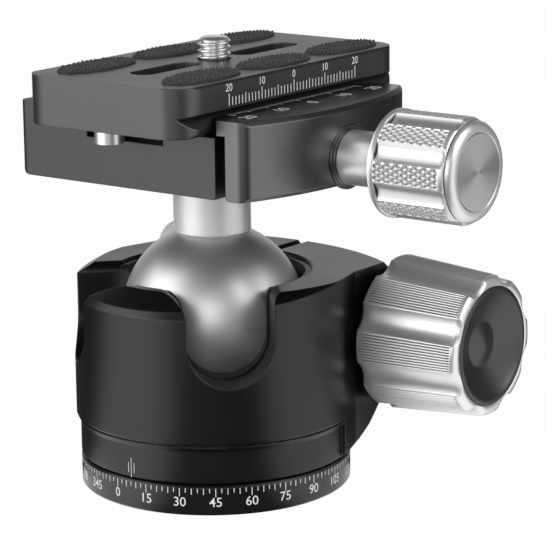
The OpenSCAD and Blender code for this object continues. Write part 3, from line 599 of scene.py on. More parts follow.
def swept_rings(
    rings: Sequence[np.ndarray], closed: bool, depths: Optional[np.ndarray] = None
) -> tuple[np.ndarray, list[tuple[int, ...]]]:
    """Joins rings of equal count into a skin.

    Args:
        rings: Point rings.
        closed: True where the last ring joins the first, otherwise both ends are capped.
        depths: Height of each point; where given, quads are split along their lower diagonal.

    Returns:
        The points and the faces.
    """
    n = len(rings[0])
    count = len(rings)
    faces: list[tuple[int, ...]] = []
    for i in range(count if closed else count - 1):
        a, b = i * n, ((i + 1) % count) * n
        for j in range(n):
            k = (j + 1) % n
            quad = (a + j, a + k, b + k, b + j)
            if depths is None:
                faces.append(quad)
            elif depths[quad[0]] + depths[quad[2]] < depths[quad[1]] + depths[quad[3]]:
                faces.extend(((quad[0], quad[1], quad[2]), (quad[0], quad[2], quad[3])))
            else:
                faces.extend(((quad[0], quad[1], quad[3]), (quad[1], quad[2], quad[3])))
    if not closed:
        faces.append(tuple(range(n - 1, -1, -1)))
        faces.append(tuple((count - 1) * n + j for j in range(n)))
    return np.concatenate(rings), faces


def even_angles(count: int) -> np.ndarray:
    """Angles of evenly spaced points round a ring."""
    return np.linspace(0.0, FULL_TURN, count, endpoint=False)


def plain_radius(station: tuple, angles: np.ndarray) -> np.ndarray:
    """Radius of a plain ring, which is its station's second value."""
    return np.full(len(angles), station[1])


def zigzag(turns: np.ndarray) -> np.ndarray:
    """Falls from 1 to 0 and rises back to 1 over each whole number."""
    return np.abs(2.0 * np.mod(turns, 1.0) - 1.0)


@dataclass
class Turning:
    """A piece turned round an axis that starts at a point."""

    origin: Point
    axis: Vector
    angles: np.ndarray

    def rings(self, radius_at: RadiusAt, stations: Sequence[tuple]) -> list[np.ndarray]:
        """Places rings round the axis.

        Args:
            radius_at: Gives the radius at each angle for a station.
            stations: One tuple for each ring, whose first value is the place along the axis.

        Returns:
            The rings.
        """
        side = Vector(Axis.Z.value) if abs(self.axis.z) < 0.9 else Vector(Axis.X.value)
        u = np.array((side - self.axis * side.dot(self.axis)).normalized())
        w = np.cross(np.array(self.axis), u)
        rings = []
        for station in stations:
            radius = radius_at(station, self.angles)
            centre = np.array(self.origin) + np.array(self.axis) * station[0]
            across = np.outer(radius * np.cos(self.angles), u) + np.outer(radius * np.sin(self.angles), w)
            rings.append(centre + across)
        return rings

    def piece(
        self, name: str, stations: Sequence[tuple], radius_at: RadiusAt = plain_radius, closed: bool = True,
        smooth_below: float = SMOOTH_BELOW, split: bool = False,
    ) -> bpy.types.Object:
        """Makes the piece.

        Args:
            name: Name of the object.
            stations: One tuple for each ring, whose first value is the place along the axis.
            radius_at: Gives the radius at each angle for a station.
            closed: True where the last ring joins the first, otherwise both ends are capped.
            smooth_below: Edges sharper than this many degrees stay sharp.
            split: True where quads are split along their lower diagonal.

        Returns:
            The object.
        """
        depths = np.concatenate([radius_at(s, self.angles) for s in stations]) if split else None
        verts, faces = swept_rings(self.rings(radius_at, stations), closed, depths)
        return to_mesh_object(name, verts, faces, smooth_below)


def text_object(name: str, words: str, size: float, depth: float) -> bpy.types.Object:
    """Makes a centred flat number as a thin solid about the XY plane.

    Args:
        name: The object's name.
        words: The figures.
        size: Font size in millimetres.
        depth: Half of the thickness in millimetres.

    Returns:
        A mesh object in millimetres.
    """
    bolder = 0.003
    curve = bpy.data.curves.new(name, "FONT")
    curve.body = words
    curve.size = size
    curve.align_x = "CENTER"
    curve.align_y = "CENTER"
    curve.extrude = depth
    curve.offset = size * bolder
    curve.resolution_u = 3
    holder = new_object(name + "_curve", curve)
    mesh = finished_mesh(holder)
    bpy.data.objects.remove(holder)
    return new_object(name, mesh)


def place_points(obj: bpy.types.Object, place: Callable[[np.ndarray], np.ndarray]) -> None:
    """Moves every point of a mesh from millimetres to its place in metres.

    Args:
        obj: The object.
        place: Maps points in millimetres to points in millimetres.
    """
    co = np.empty(len(obj.data.vertices) * 3)
    obj.data.vertices.foreach_get("co", co)
    obj.data.vertices.foreach_set("co", (place(co.reshape(-1, 3)) * MM).ravel())
    obj.data.update()


def join(name: str, objects: Sequence[bpy.types.Object]) -> bpy.types.Object:
    """Joins mesh objects into one.

    Args:
        name: Name of the result.
        objects: The objects, which are used up.

    Returns:
        The joined object.
    """
    bm = bmesh.new()
    for obj in objects:
        bm.from_mesh(obj.data)
    mesh = bpy.data.meshes.new(name)
    bm.to_mesh(mesh)
    bm.free()
    for obj in objects:
        bpy.data.objects.remove(obj)
    return new_object(name, mesh)


def cut_with(obj: bpy.types.Object, cutter: bpy.types.Object, smooth_below: float = SMOOTH_BELOW) -> None:
    """Cuts one mesh with another and uses the cutter up.

    Args:
        obj: The piece.
        cutter: The cutting solid.
        smooth_below: Edges sharper than this many degrees stay sharp.
    """
    mod = obj.modifiers.new("cut", "BOOLEAN")
    mod.operation = "DIFFERENCE"
    mod.solver = "EXACT"
    mod.object = cutter
    mesh = finished_mesh(obj)
    obj.modifiers.clear()
    obj.data = mesh
    bpy.data.objects.remove(cutter)
    tidy_mesh(obj, smooth_below)


def box_object(name: str, low: Point, high: Point) -> bpy.types.Object:
    """Makes a box, used as a cutter.

    Args:
        name: The object's name.
        low: Lowest corner in millimetres.
        high: Highest corner in millimetres.

    Returns:
        The object.
    """
    sides = list(zip(low, high))
    verts = np.array([[x, y, z] for x in sides[0] for y in sides[1] for z in sides[2]])
    faces = [(0, 1, 3, 2), (4, 6, 7, 5), (0, 4, 5, 1), (2, 3, 7, 6), (0, 2, 6, 4), (1, 5, 7, 3)]
    return to_mesh_object(name, verts, faces)


def round_cutter(
    radius: float, place: Callable[[float, float, float], Point], low: float, high: float
) -> bpy.types.Object:
    """Makes the solid that takes a square edge down to a round one.

    Args:
        radius: Radius of the rounded edge.
        place: Gives the point for two distances in from the edge and one along it.
        low: Where the solid starts along the edge.
        high: Where it ends.

    Returns:
        The solid.
    """
    over, points = 1.0, 9
    turn = np.linspace(0.0, math.pi / 2.0, points)
    outline = [(radius * (1.0 - math.sin(t)), radius * (1.0 - math.cos(t))) for t in turn]
    outline += [(-over, radius), (-over, -over), (radius, -over)]
    n = len(outline)
    verts = np.array([place(u, v, w) for w in (low, high) for u, v in outline])
    faces = [(i, (i + 1) % n, (i + 1) % n + n, i + n) for i in range(n)]
    faces += [tuple(range(n)), tuple(range(2 * n - 1, n - 1, -1))]
    return to_mesh_object("round_cutter", verts, faces)


# ---------------------------------------------------------------- geometry node trees


class RepeatTree(Group):
    """A Geometry Nodes tree that repeats a small solid, and its named inputs."""

    def __init__(self, name: str, inputs: Sequence[InSocket]) -> None:
        """Starts the tree.

        Args:
            name: The tree's name.
            inputs: Name, type and default of each input.
        """
        geometry = ("Geometry", GEOMETRY)
        super().__init__(name, GEOMETRY_TREE, [(*geometry, None), *inputs], [geometry])

    def end(self, points: bpy.types.NodeSocket, solid: bpy.types.Node, **placing: object) -> None:
        """Puts the solid on the points and ends the tree in Realize Instances and Set Material.

        Args:
            points: The points.
            solid: Node of the repeated solid.
            placing: Scale, and Rotation where the copies are turned.
        """
        values = {"Points": points, "Instance": solid.outputs[0], **placing}
        put = self.add("GeometryNodeInstanceOnPoints", values)
        real = self.add("GeometryNodeRealizeInstances", {"Geometry": put.outputs[0]})
        values = {"Geometry": real.outputs[0], "Material": self.inp["Material"]}
        self.link(self.add("GeometryNodeSetMaterial", values).outputs[0], self.out["Geometry"])

    def make(self, name: str, values: dict, base: Optional[bpy.types.Object] = None) -> bpy.types.Object:
        """Runs the tree and gives its result as a plain mesh.

        Args:
            name: Name of the new object.
            values: Input name to value.
            base: Object whose mesh the tree starts from, if it needs one.

        Returns:
            The object.
        """
        holder = new_object(name, base.data.copy() if base else bpy.data.meshes.new(name + "_seed"))
        mod = holder.modifiers.new("repeat", "NODES")
        mod.node_group = self.tree
        for item in self.tree.interface.items_tree:
            if item.item_type == "SOCKET" and item.in_out == "INPUT" and item.name in values:
                mod[item.identifier] = values[item.name]
        holder.update_tag()
        result = finished_mesh(holder)
        holder.modifiers.clear()
        holder.data = result
        return holder


class TickTree(RepeatTree):
    """A tree that makes the ticks of a scale, where every few are longer."""

    def __init__(self, name: str, inputs: Sequence[InSocket]) -> None:
        """Starts the tree and works out each tick's length.

        Args:
            name: The tree's name.
            inputs: Name, type and default of each input besides those of every scale.
        """
        every_scale = [
            ("Count", INTEGER, 41), ("Short", FLOAT, 0.001), ("Middle", FLOAT, 0.0015),
            ("Long", FLOAT, 0.002), ("Middle Every", FLOAT, 5.0), ("Long Every", FLOAT, 10.0),
            ("Width", FLOAT, 0.0002), ("Depth", FLOAT, 0.0001), ("Material", MATERIAL, None),
        ]
        super().__init__(name, [*every_scale, *inputs])
        self.index = self.add("GeometryNodeInputIndex").outputs[0]
        self.length = self.inp["Short"]
        for every, length in (("Middle Every", "Middle"), ("Long Every", "Long")):
            hit = self.math("COMPARE", self.math("MODULO", self.index, self.inp[every]), 0.0)
            values = {0: hit, 1: self.length, 2: self.inp[length]}
            self.length = self.add("GeometryNodeSwitch", values, input_type="FLOAT").outputs[0]

    def end_ticks(self, spot: bpy.types.NodeSocket, **placing: object) -> None:
        """Puts a unit cube at each tick's spot and ends the tree.

        Args:
            spot: Position of each tick.
            placing: Scale, and Rotation where the ticks are turned.
        """
        points = self.add("GeometryNodePoints", {"Count": self.inp["Count"], "Position": spot})
        cube = self.add("GeometryNodeMeshCube", {"Size": (1.0, 1.0, 1.0)})
        self.end(points.outputs[0], cube, **placing)


def build_ring_ticks() -> TickTree:
    """Ticks round a cylinder about Z.

    Returns:
        The tree.
    """
    t = TickTree("ring_ticks", [
        ("Radius", FLOAT, 0.0267), ("Start Angle", FLOAT, 0.0), ("Step Angle", FLOAT, 0.05),
        ("Top", FLOAT, 0.0055),
    ])
    angle = t.math("ADD", t.inp["Start Angle"], t.math("MULTIPLY", t.index, t.inp["Step Angle"]))
    x = t.math("MULTIPLY", t.math("SINE", angle), t.inp["Radius"])
    y = t.math("MULTIPLY", t.math("MULTIPLY", t.math("COSINE", angle), -1.0), t.inp["Radius"])
    z = t.math("SUBTRACT", t.inp["Top"], t.math("MULTIPLY", t.length, 0.5))
    scale = t.combine(t.inp["Width"], t.inp["Depth"], t.length)
    t.end_ticks(t.combine(x, y, z), Rotation=t.combine(z=angle), Scale=scale)
    return t


def build_row_ticks() -> TickTree:
    """Ticks along Y on a flat face; the ticks' length runs along Reach.

    Returns:
        The tree.
    """
    t = TickTree("row_ticks", [
        ("Origin", VECTOR, (0.0, 0.0, 0.0)), ("Pitch", FLOAT, 0.001), ("Reach", VECTOR, Axis.Z.value),
        ("Face", VECTOR, Axis.X.value),
    ])
    along = t.combine(y=t.math("MULTIPLY", t.index, t.inp["Pitch"]))
    out = t.vector("SCALE", t.inp["Reach"], t.math("MULTIPLY", t.length, 0.5))
    spot = t.vector("ADD", t.vector("ADD", t.inp["Origin"], along), out)
    longways = t.vector("SCALE", t.inp["Reach"], t.length)
    through = t.vector("SCALE", t.inp["Face"], t.inp["Depth"])
    size = t.vector("ABSOLUTE", t.vector("ADD", longways, through))
    t.end_ticks(spot, Scale=t.vector("ADD", size, t.combine(y=t.inp["Width"])))
    return t


def build_pimple_tree() -> RepeatTree:
    """Small domes on the points of a given mesh, as on grip rubber.

    Returns:
        The tree.
    """
    t = RepeatTree("grip_pimples", [
        ("Size", FLOAT, 0.0004), ("Seed", INTEGER, 3), ("Material", MATERIAL, None),
    ])
    cone = {"Vertices": 8, "Radius Top": 0.5, "Radius Bottom": 1.0, "Depth": 0.9}
    dome = t.add("GeometryNodeMeshCone", cone)
    smallest, largest = 0.85, 1.1
    values = {2: smallest, 3: largest, "Seed": t.inp["Seed"]}
    vary = t.add("FunctionNodeRandomValue", values, data_type="FLOAT").outputs[1]
    size = t.math("MULTIPLY", vary, t.inp["Size"])
    t.end(t.inp["Geometry"], dome, Scale=t.combine(size, size, size))
    return t


# ---------------------------------------------------------------- sub-assemblies


@dataclass(frozen=True)
class Ticks:
    """Sizes of a scale's ticks in millimetres, and which of them are longer."""

    count: int
    short: float
    middle: float
    long: float
    width: float
    depth: float = 0.1
    middle_every: int = 5
    long_every: int = 10

    def values(self) -> dict:
        """Gives the inputs that every tick tree has.

        Returns:
            Input name to value, in metres.
        """
        return {
            "Count": self.count, "Short": self.short * MM, "Middle": self.middle * MM, "Long": self.long * MM,
            "Width": self.width * MM, "Depth": self.depth * MM,
            "Middle Every": float(self.middle_every), "Long Every": float(self.long_every),
        }


@dataclass
class SubAssembly:
    """What every sub-assembly shares: the finish shop and the way pieces are handed over."""

    shop: FinishShop

    def dress(self, finish: Finish, *nodes: str) -> None:
        """Gives carried-over CAD nodes a finish.

        Args:
            finish: The finish.
            nodes: Names of the CAD nodes.
        """
        for name in nodes:
            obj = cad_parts[name]
            obj.data.materials.clear()
            obj.data.materials.append(self.shop.material(finish))
            obj.data.polygons.foreach_set("use_smooth", [True] * len(obj.data.polygons))
            LOG.info("dressed %s in %s", name, finish.name)

    def hand_over(self, obj: bpy.types.Object, body: str, finish: Finish, *replaced: str) -> None:
        """Finishes a piece: material, body and the nodes it stands for.

        Args:
            obj: The piece.
            body: The CAD body it rides on.
            finish: Its finish.
            replaced: CAD nodes that it replaces.
        """
        if not obj.data.materials or obj.data.materials[0] is None:
            obj.data.materials.clear()
            obj.data.materials.append(self.shop.material(finish))
        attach(obj, body)
        if replaced:
            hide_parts(*replaced)
        LOG.info("piece %s rides on %s, %d faces", obj.name, body, len(obj.data.polygons))

    def mark(self, tree: TickTree, name: str, body: str, ticks: Ticks, **place: object) -> None:
        """Makes a scale's ticks and hands them over.

        Args:
            tree: The tree that repeats the ticks.
            name: Name of the piece.
            body: The CAD body it rides on.
            ticks: The ticks' sizes.
            place: Where the ticks are: the tree's other inputs, with an underscore for each space.
        """
        values = ticks.values() | {key.replace("_", " "): value for key, value in place.items()}
        values["Material"] = self.shop.material(MARK_WHITE)
        self.hand_over(tree.make(name, values), body, MARK_WHITE)


@dataclass(frozen=True)
class RowFigures:
    """Figures 20, 10, 0, 10, 20 along a millimetre scale that runs along Y."""

    size: float
    half_depth: float = 0.05
    reach: int = 20
    step: int = 10

    def make(self, name: str, place: Callable[[np.ndarray], tuple]) -> bpy.types.Object:
        """Makes the figures.

        Args:
            name: Name of the piece.
            place: Gives X, the shift along Y and Z for points of a flat figure.

        Returns:
            The joined figures.
        """
        made = []
        for at in range(-self.reach, self.reach + 1, self.step):
            obj = text_object(f"{name}_{at + self.reach}", str(abs(at)), self.size, self.half_depth)

            def put(p: np.ndarray, at: int = at) -> np.ndarray:
                """Puts flat points at their place on the scale."""
                x, y, z = place(p)
                return np.stack([x, at + y, z], axis=1)

            place_points(obj, put)
            made.append(obj)
        return join(name, made)


@dataclass
class BaseAssembly(SubAssembly):
    """Base disc with its degree dial, spindle and tripod thread."""

    radius: float = 26.7
    mark_sink: float = 0.035
    dial_zero: float = -7.3
    dial_step: float = 2.5
    number_step: int = 15
    number_z: float = 2.62
    number_size: float = 2.6
    number_depth: float = 0.06
    tick_top: float = 5.42
    thread_minor: float = 3.99
    thread_major: float = 4.76
    thread_pitch: float = 1.5875
    thread_depth: float = 9.0
    bush_radius: float = 6.2
    bush_chamfer: float = 0.35
    bush_points: int = 64

    def build(self, tree: TickTree) -> None:
        """Builds and dresses the base.

        Args:
            tree: The tree that repeats ticks round a ring.
        """
        self.dress(BASE_BLACK, "base_disc")
        self.dress(STEEL, "pan_spindle", "base_screws", "spindle_nut")
        self.dress(NYLON, "pan_washers")
        ticks = Ticks(round(360 / self.dial_step), 0.85, 1.2, 1.65, 0.15, 0.12, middle_every=2, long_every=6)
        self.mark(
            tree, "dial_ticks", "base", ticks, Radius=(self.radius - self.mark_sink) * MM,
            Start_Angle=math.radians(self.dial_zero), Step_Angle=math.radians(self.dial_step),
            Top=self.tick_top * MM,
        )
        self.hand_over(self.numbers(), "base", MARK_WHITE)
        self.hand_over(self.thread_bush(), "base", STEEL, "thread_insert")

    def numbers(self) -> bpy.types.Object:
        """Figures round the dial, bent round the disc.

        Returns:
            The joined figures.
        """
        made = []
        for value in range(0, 360, self.number_step):
            obj = text_object(f"dial_{value}", str(value), self.number_size, self.number_depth)
            turn = math.radians(value + self.dial_zero)

            def bend(p: np.ndarray, turn: float = turn) -> np.ndarray:
                """Bends flat points round the disc.

                Args:
                    p: The points of one figure.
                    turn: The figure's angle.

                Returns:
                    The bent points.
                """
                a = turn + p[:, 0] / self.radius
                r = self.radius - self.mark_sink + p[:, 2]
                return np.stack([r * np.sin(a), -r * np.cos(a), self.number_z + p[:, 1]], axis=1)

            place_points(obj, bend)
            made.append(obj)
        return join("dial_numbers", made)

    def thread_bush(self) -> bpy.types.Object:
        """The tripod bush with its inside thread.

        Returns:
            The bush.
        """

        def radius_at(station: tuple, a: np.ndarray) -> np.ndarray:
            """Radius of a ring: the thread inside, plain outside.

            Args:
                station: Place along the axis, radius and whether the ring is threaded.
                a: Angles.

            Returns:
                The radius at each angle.
            """
            z, r, threaded = station
            if not threaded:
                return np.full(len(a), r)
            wave = zigzag(z / self.thread_pitch - a / FULL_TURN)
            return self.thread_minor + (self.thread_major - self.thread_minor) * wave

        chamfer, mouth = self.bush_chamfer, self.thread_major + 0.5
        first, step = 0.45, 0.16
        stations: list[tuple] = [
            (chamfer, self.bush_radius, False), (0.0, self.bush_radius - chamfer, False), (0.0, mouth, False),
            *((z, 0.0, True) for z in np.arange(first, self.thread_depth, step)),
            (self.thread_depth, self.thread_major, False), (self.thread_depth, self.bush_radius, False),
        ]
        turning = Turning((0.0, 0.0, 0.0), Vector(Axis.Z.value), even_angles(self.bush_points))
        return turning.piece("tripod_bush", stations, radius_at, smooth_below=50.0)


@dataclass
class HousingAssembly(SubAssembly):
    """Split housing, liner, ball cup and the parts inside it."""

    band_radius: float = 26.7
    mark_sink: float = 0.035
    mark_width: float = 0.12
    index_azimuth: float = 0.6
    index_top: float = 10.2
    index_length: float = 3.9
    side_length: float = 2.0
    side_drop: float = 1.0
    side_spread: float = 1.45

    def build(self, tree: TickTree) -> None:
        """Builds and dresses the housing.

        Args:
            tree: The tree that repeats ticks round a ring.
        """
        self.dress(BODY_BLACK, "housing")
        self.dress(LINER, "seat_liner")
        self.dress(SPRING_STEEL, "cup_springs")
        self.dress(STEEL, "lock_nut", "brake_rod")
        self.dress(BRASS, "brake_shoe")
        self.dress(NYLON, "ball_cup", "pan_washer")
        self.index(tree, "index_mark", 1, self.index_length, 0.0, 0.0)
        self.index(tree, "index_side_marks", 2, self.side_length, self.side_spread, self.side_drop)

    def index(self, tree: TickTree, name: str, count: int, length: float, spread: float, drop: float) -> None:
        """Makes the index mark or the two short marks beside it.

        Args:
            tree: The tree that repeats ticks round a ring.
            name: Name of the piece.
            count: How many marks.
            length: Their length.
            spread: Degrees from the index to a mark.
            drop: How far below the index's top they start.
        """
        ticks = Ticks(count, length, length, length, self.mark_width, self.mark_width)
        self.mark(
            tree, name, "housing", ticks, Radius=(self.band_radius - self.mark_sink) * MM,
            Start_Angle=math.radians(self.index_azimuth - spread), Step_Angle=math.radians(2.0 * spread),
            Top=(self.index_top - drop) * MM,
        )


@dataclass
class BallAssembly(SubAssembly):
    """Ball and stem."""

    def build(self) -> None:
        """Dresses the ball and the stem."""
        self.dress(BALL_GREY, "ball")
        self.dress(STEM_SATIN, "stem")
        self.dress(STEEL, "clamp_bolt", "bolt_washer")


@dataclass(frozen=True)
class Fluting:
    """Lands and flutes of a turned knob: how many, the cutter's radius and depth, the first flute's angle."""

    cut: float
    deep: float
    count: int = 8
    first: float = math.pi / 2.0 + math.pi / 8.0
    land_edge: float = 0.12

    @property
    def pitch(self) -> float:
        """Angle from one flute to the next."""
        return FULL_TURN / self.count

    def land_middle(self, k: int) -> float:
        """Angle of a land's middle."""
        return self.first + (k + 0.5) * self.pitch

    def radius(self, r: float, amount: float, a: np.ndarray) -> np.ndarray:
        """Radius with the flutes cut.

        Args:
            r: Radius of the lands.
            amount: Share of the flutes' full depth.
            a: Angles.

        Returns:
            The radius at each angle.
        """
        if amount <= 0.0:
            return np.full(len(a), r)
        off = np.mod(a - self.first + self.pitch / 2.0, self.pitch) - self.pitch / 2.0
        centre = r + self.cut - self.deep * amount
        inside = self.cut**2 - (centre * np.sin(off)) ** 2
        cut = centre * np.cos(off) - np.sqrt(np.maximum(inside, 0.0))
        return np.where(inside > 0.0, np.minimum(r, cut), r)

    def on_land(self, r: float, a: np.ndarray, margin: float) -> tuple[np.ndarray, np.ndarray]:
        """Finds the lands.

        Args:
            r: Radius of the lands.
            a: Angles.
            margin: Plain edge of a land in millimetres.

        Returns:
            Distance from the land's middle in millimetres, and a mask that is 1 on the land.
        """
        arc = (np.mod(a - self.first, self.pitch) - self.pitch / 2.0) * r
        mask = np.clip((self.land_half(r) * r - margin - np.abs(arc)) / self.land_edge, 0.0, 1.0)
        return arc, mask

    def land_half(self, r: float) -> float:
        """Works out a land's half-angle.

        Args:
            r: Radius of the lands.

        Returns:
            The angle.
        """
        centre = r + self.cut - self.deep
        reach = math.acos((r * r + centre * centre - self.cut**2) / (2.0 * r * centre))
        return self.pitch / 2.0 - reach


@dataclass
class MainKnobAssembly(SubAssembly):
    """Tapered main knob with ribbed lands, its ring and its friction dial."""

    start: Point = (27.1, *MAIN_KNOB_AXIS[1:])
    length: float = 21.9
    back: float = 15.4
    front: float = 13.8
    bore: float = 3.05
    boss: float = 10.0
    flutes: Fluting = Fluting(cut=4.8, deep=1.15)
    flute_points: int = 34
    ribs: int = 9
    rib_degrees: float = 2.2
    rib_deep: float = 0.34
    rib_flank: float = 0.22
    flank_share: float = 0.16
    dial: float = 11.75
    dial_gap: float = 0.05
    dial_proud: float = 0.2
    dial_back: float = 4.6
    dial_dome: float = 4.6
    dial_deep: float = 2.9
    dial_rise: float = 1.25
    dial_points: int = 144
    recess: float = 5.6

    def build(self) -> None:
        """Builds and dresses the main knob."""
        self.dress(STEEL, "lock_screw", "knob_grub_screw", "dial_shaft")
        self.dress(SPRING_STEEL, "dial_spring")
        self.dress(RING_BLACK, "lock_washer")
        self.hand_over(self.dish(), "dial", DIAL_RUBBER, "friction_dial")
        self.hand_over(self.knob(), "lock_knob", KNOB_SATIN, "main_knob")

    def layout(self) -> tuple[np.ndarray, np.ndarray]:
        """Places the points of a ring: dense on the ribs, even in the flutes.

        Returns:
            The angles, and how deep into a groove each lies, from 0 to 1.
        """
        w = math.radians(self.rib_degrees)
        half = self.ribs / 2.0
        land = []
        for i in range(self.ribs + 1):
            groove = (i - half) * w
            flank = self.rib_flank * w
            land += [(groove, 1.0), (groove - flank, self.flank_share), (groove + flank, self.flank_share)]
        land += [((i - half + 0.5) * w, 0.0) for i in range(self.ribs)]
        edge = (half + 0.45) * w
        land += [(a, 0.0) for a in np.linspace(edge, self.flutes.pitch - edge, self.flute_points)]
        sector = np.array(sorted(land))
        middles = [self.flutes.land_middle(k) for k in range(self.flutes.count)]
        angles = np.concatenate([middle + sector[:, 0] for middle in middles])
        return angles, np.tile(sector[:, 1], len(middles))

    def knob(self) -> bpy.types.Object:
        """The knob's body.

        Returns:
            The piece.
        """
        angles, grooves = self.layout()

        def radius_at(station: tuple, a: np.ndarray) -> np.ndarray:
            """Radius with flutes and ribs.

            Args:
                station: Place along the axis, radius and shares of the flutes and of the ribs.
                a: Angles.

            Returns:
                The radius at each angle.
            """
            _, r, flute, ribs = station
            return self.flutes.radius(r, flute, a) - self.rib_deep * ribs * grooves

        def land(x: float) -> float:
            """Radius of the lands along the taper."""
            return self.back + (self.front - self.back) * x / self.length

        end, front, back = self.length, self.front, self.back
        stations: list[tuple] = [
            (0.0, self.bore, 0, 0), (0.0, self.boss, 0, 0), (0.0, back - 0.7, 1.0, 0),
            (0.15, back - 0.25, 1.0, 0.2), (0.45, land(0.45), 1.0, 1.0),
            *((x, land(x), 1.0, 1.0) for x in np.linspace(2.0, end - 2.0, 10)),
            (end - 1.3, land(end - 1.3), 1.0, 1.0), (end - 1.05, land(end - 1.05), 1.0, 0),
            (end - 0.7, front - 0.02, 1.0, 0), (end - 0.42, front - 0.2, 1.0, 0),
            (end - 0.2, front - 0.5, 0.92, 0), (end - 0.06, front - 0.85, 0.7, 0),
            (end, front - 1.2, 0.45, 0), (end, self.dial + 0.12, 0, 0), (end - 0.15, self.dial, 0, 0),
            (end - self.recess, self.dial, 0, 0), (end - self.recess, self.bore, 0, 0),
        ]
        turning = Turning(self.start, Vector(Axis.X.value), angles)
        return turning.piece("main_knob_ribbed", stations, radius_at, smooth_below=58.0)

    def dish(self) -> bpy.types.Object:
        """The friction dial, with a flat rim, a dished face and a low dome in its middle.

        Returns:
            The piece.
        """
        dome, deep, rise = self.dial_dome, self.dial_deep, self.dial_rise
        top, low = self.length + self.dial_proud, self.length - self.dial_back
        r = self.dial - self.dial_gap
        wide, lip, bore = r - 1.4, 0.2, 2.02
        stations = [
            (low + 1.2, 0.02), (low + 1.2, bore), (low, bore), (low, r), (top - 0.35, r),
            (top - 0.1, r - 0.1), (top, r - 0.35), (top, r - 1.1), (top - 0.1, r - 1.25),
        ]
        for t in np.linspace(0.0, 1.0, 14):
            stations.append((top - lip - (deep - lip) * t**0.85, wide + (dome - wide) * t))
        for t in np.linspace(0.06, 1.0, 14):
            swell = (0.5 - 0.5 * math.cos(math.pi * t)) ** 0.8
            stations.append((top - deep + rise * swell, dome * (1.0 - t) + 0.02))
        turning = Turning(self.start, Vector(Axis.X.value), even_angles(self.dial_points))
        return turning.piece("friction_dial_dished", stations, closed=False, smooth_below=40.0)


@dataclass
class PanKnobAssembly(SubAssembly):
    """Small knob of the pan lock with a straight knurl."""

    azimuth: float = 226.0
    height: float = 37.0
    hub_at: float = 39.8
    back_at: float = 40.8
    end_at: float = 50.5
    radius: float = 4.8
    hub: float = 3.2
    bore: float = 2.55
    knurls: int = 48
    knurl_points: int = 6
    knurl_deep: float = 0.22

    def build(self) -> None:
        """Builds and dresses the pan knob."""
        self.dress(STEEL, "pan_screw")
        self.hand_over(self.knob(), "pan_knob", PAN_SATIN, "pan_knob")

    def knob(self) -> bpy.types.Object:
        """The knob's body.

        Returns:
            The piece.
        """

        def radius_at(station: tuple, a: np.ndarray) -> np.ndarray:
            """Radius with the knurl.

            Args:
                station: Place along the axis, radius and share of the knurl.
                a: Angles.

            Returns:
                The radius at each angle.
            """
            _, radius, knurl = station
            return radius - self.knurl_deep * knurl * zigzag(a * self.knurls / FULL_TURN)

        r, back, end = self.radius, self.back_at, self.end_at
        groove, pin = r - 0.4, 0.05
        stations = [
            (self.hub_at, self.bore, 0), (self.hub_at, self.hub - 0.2, 0), (self.hub_at + 0.2, self.hub, 0),
            (back, self.hub, 0), (back, groove, 0), (back + 0.35, r, 0), (back + 2.0, r, 0),
            (back + 2.2, groove, 0), (back + 2.8, groove, 0), (back + 3.0, r, 1.0), (end - 1.2, r, 1.0),
            (end - 1.0, r, 0), (end - 0.35, r - 0.5, 0), (end, r - 0.85, 0), (end, r - 1.7, 0),
            (end - 0.6, r - 1.9, 0), (end - 0.6, pin, 0), (end - 3.0, pin, 0), (end - 3.0, self.bore, 0),
        ]
        angles = even_angles(self.knurl_points * self.knurls)
        turning = Turning((0.0, 0.0, self.height), direction(self.azimuth), angles)
        return turning.piece("pan_knob_knurled", stations, radius_at, smooth_below=32.0)


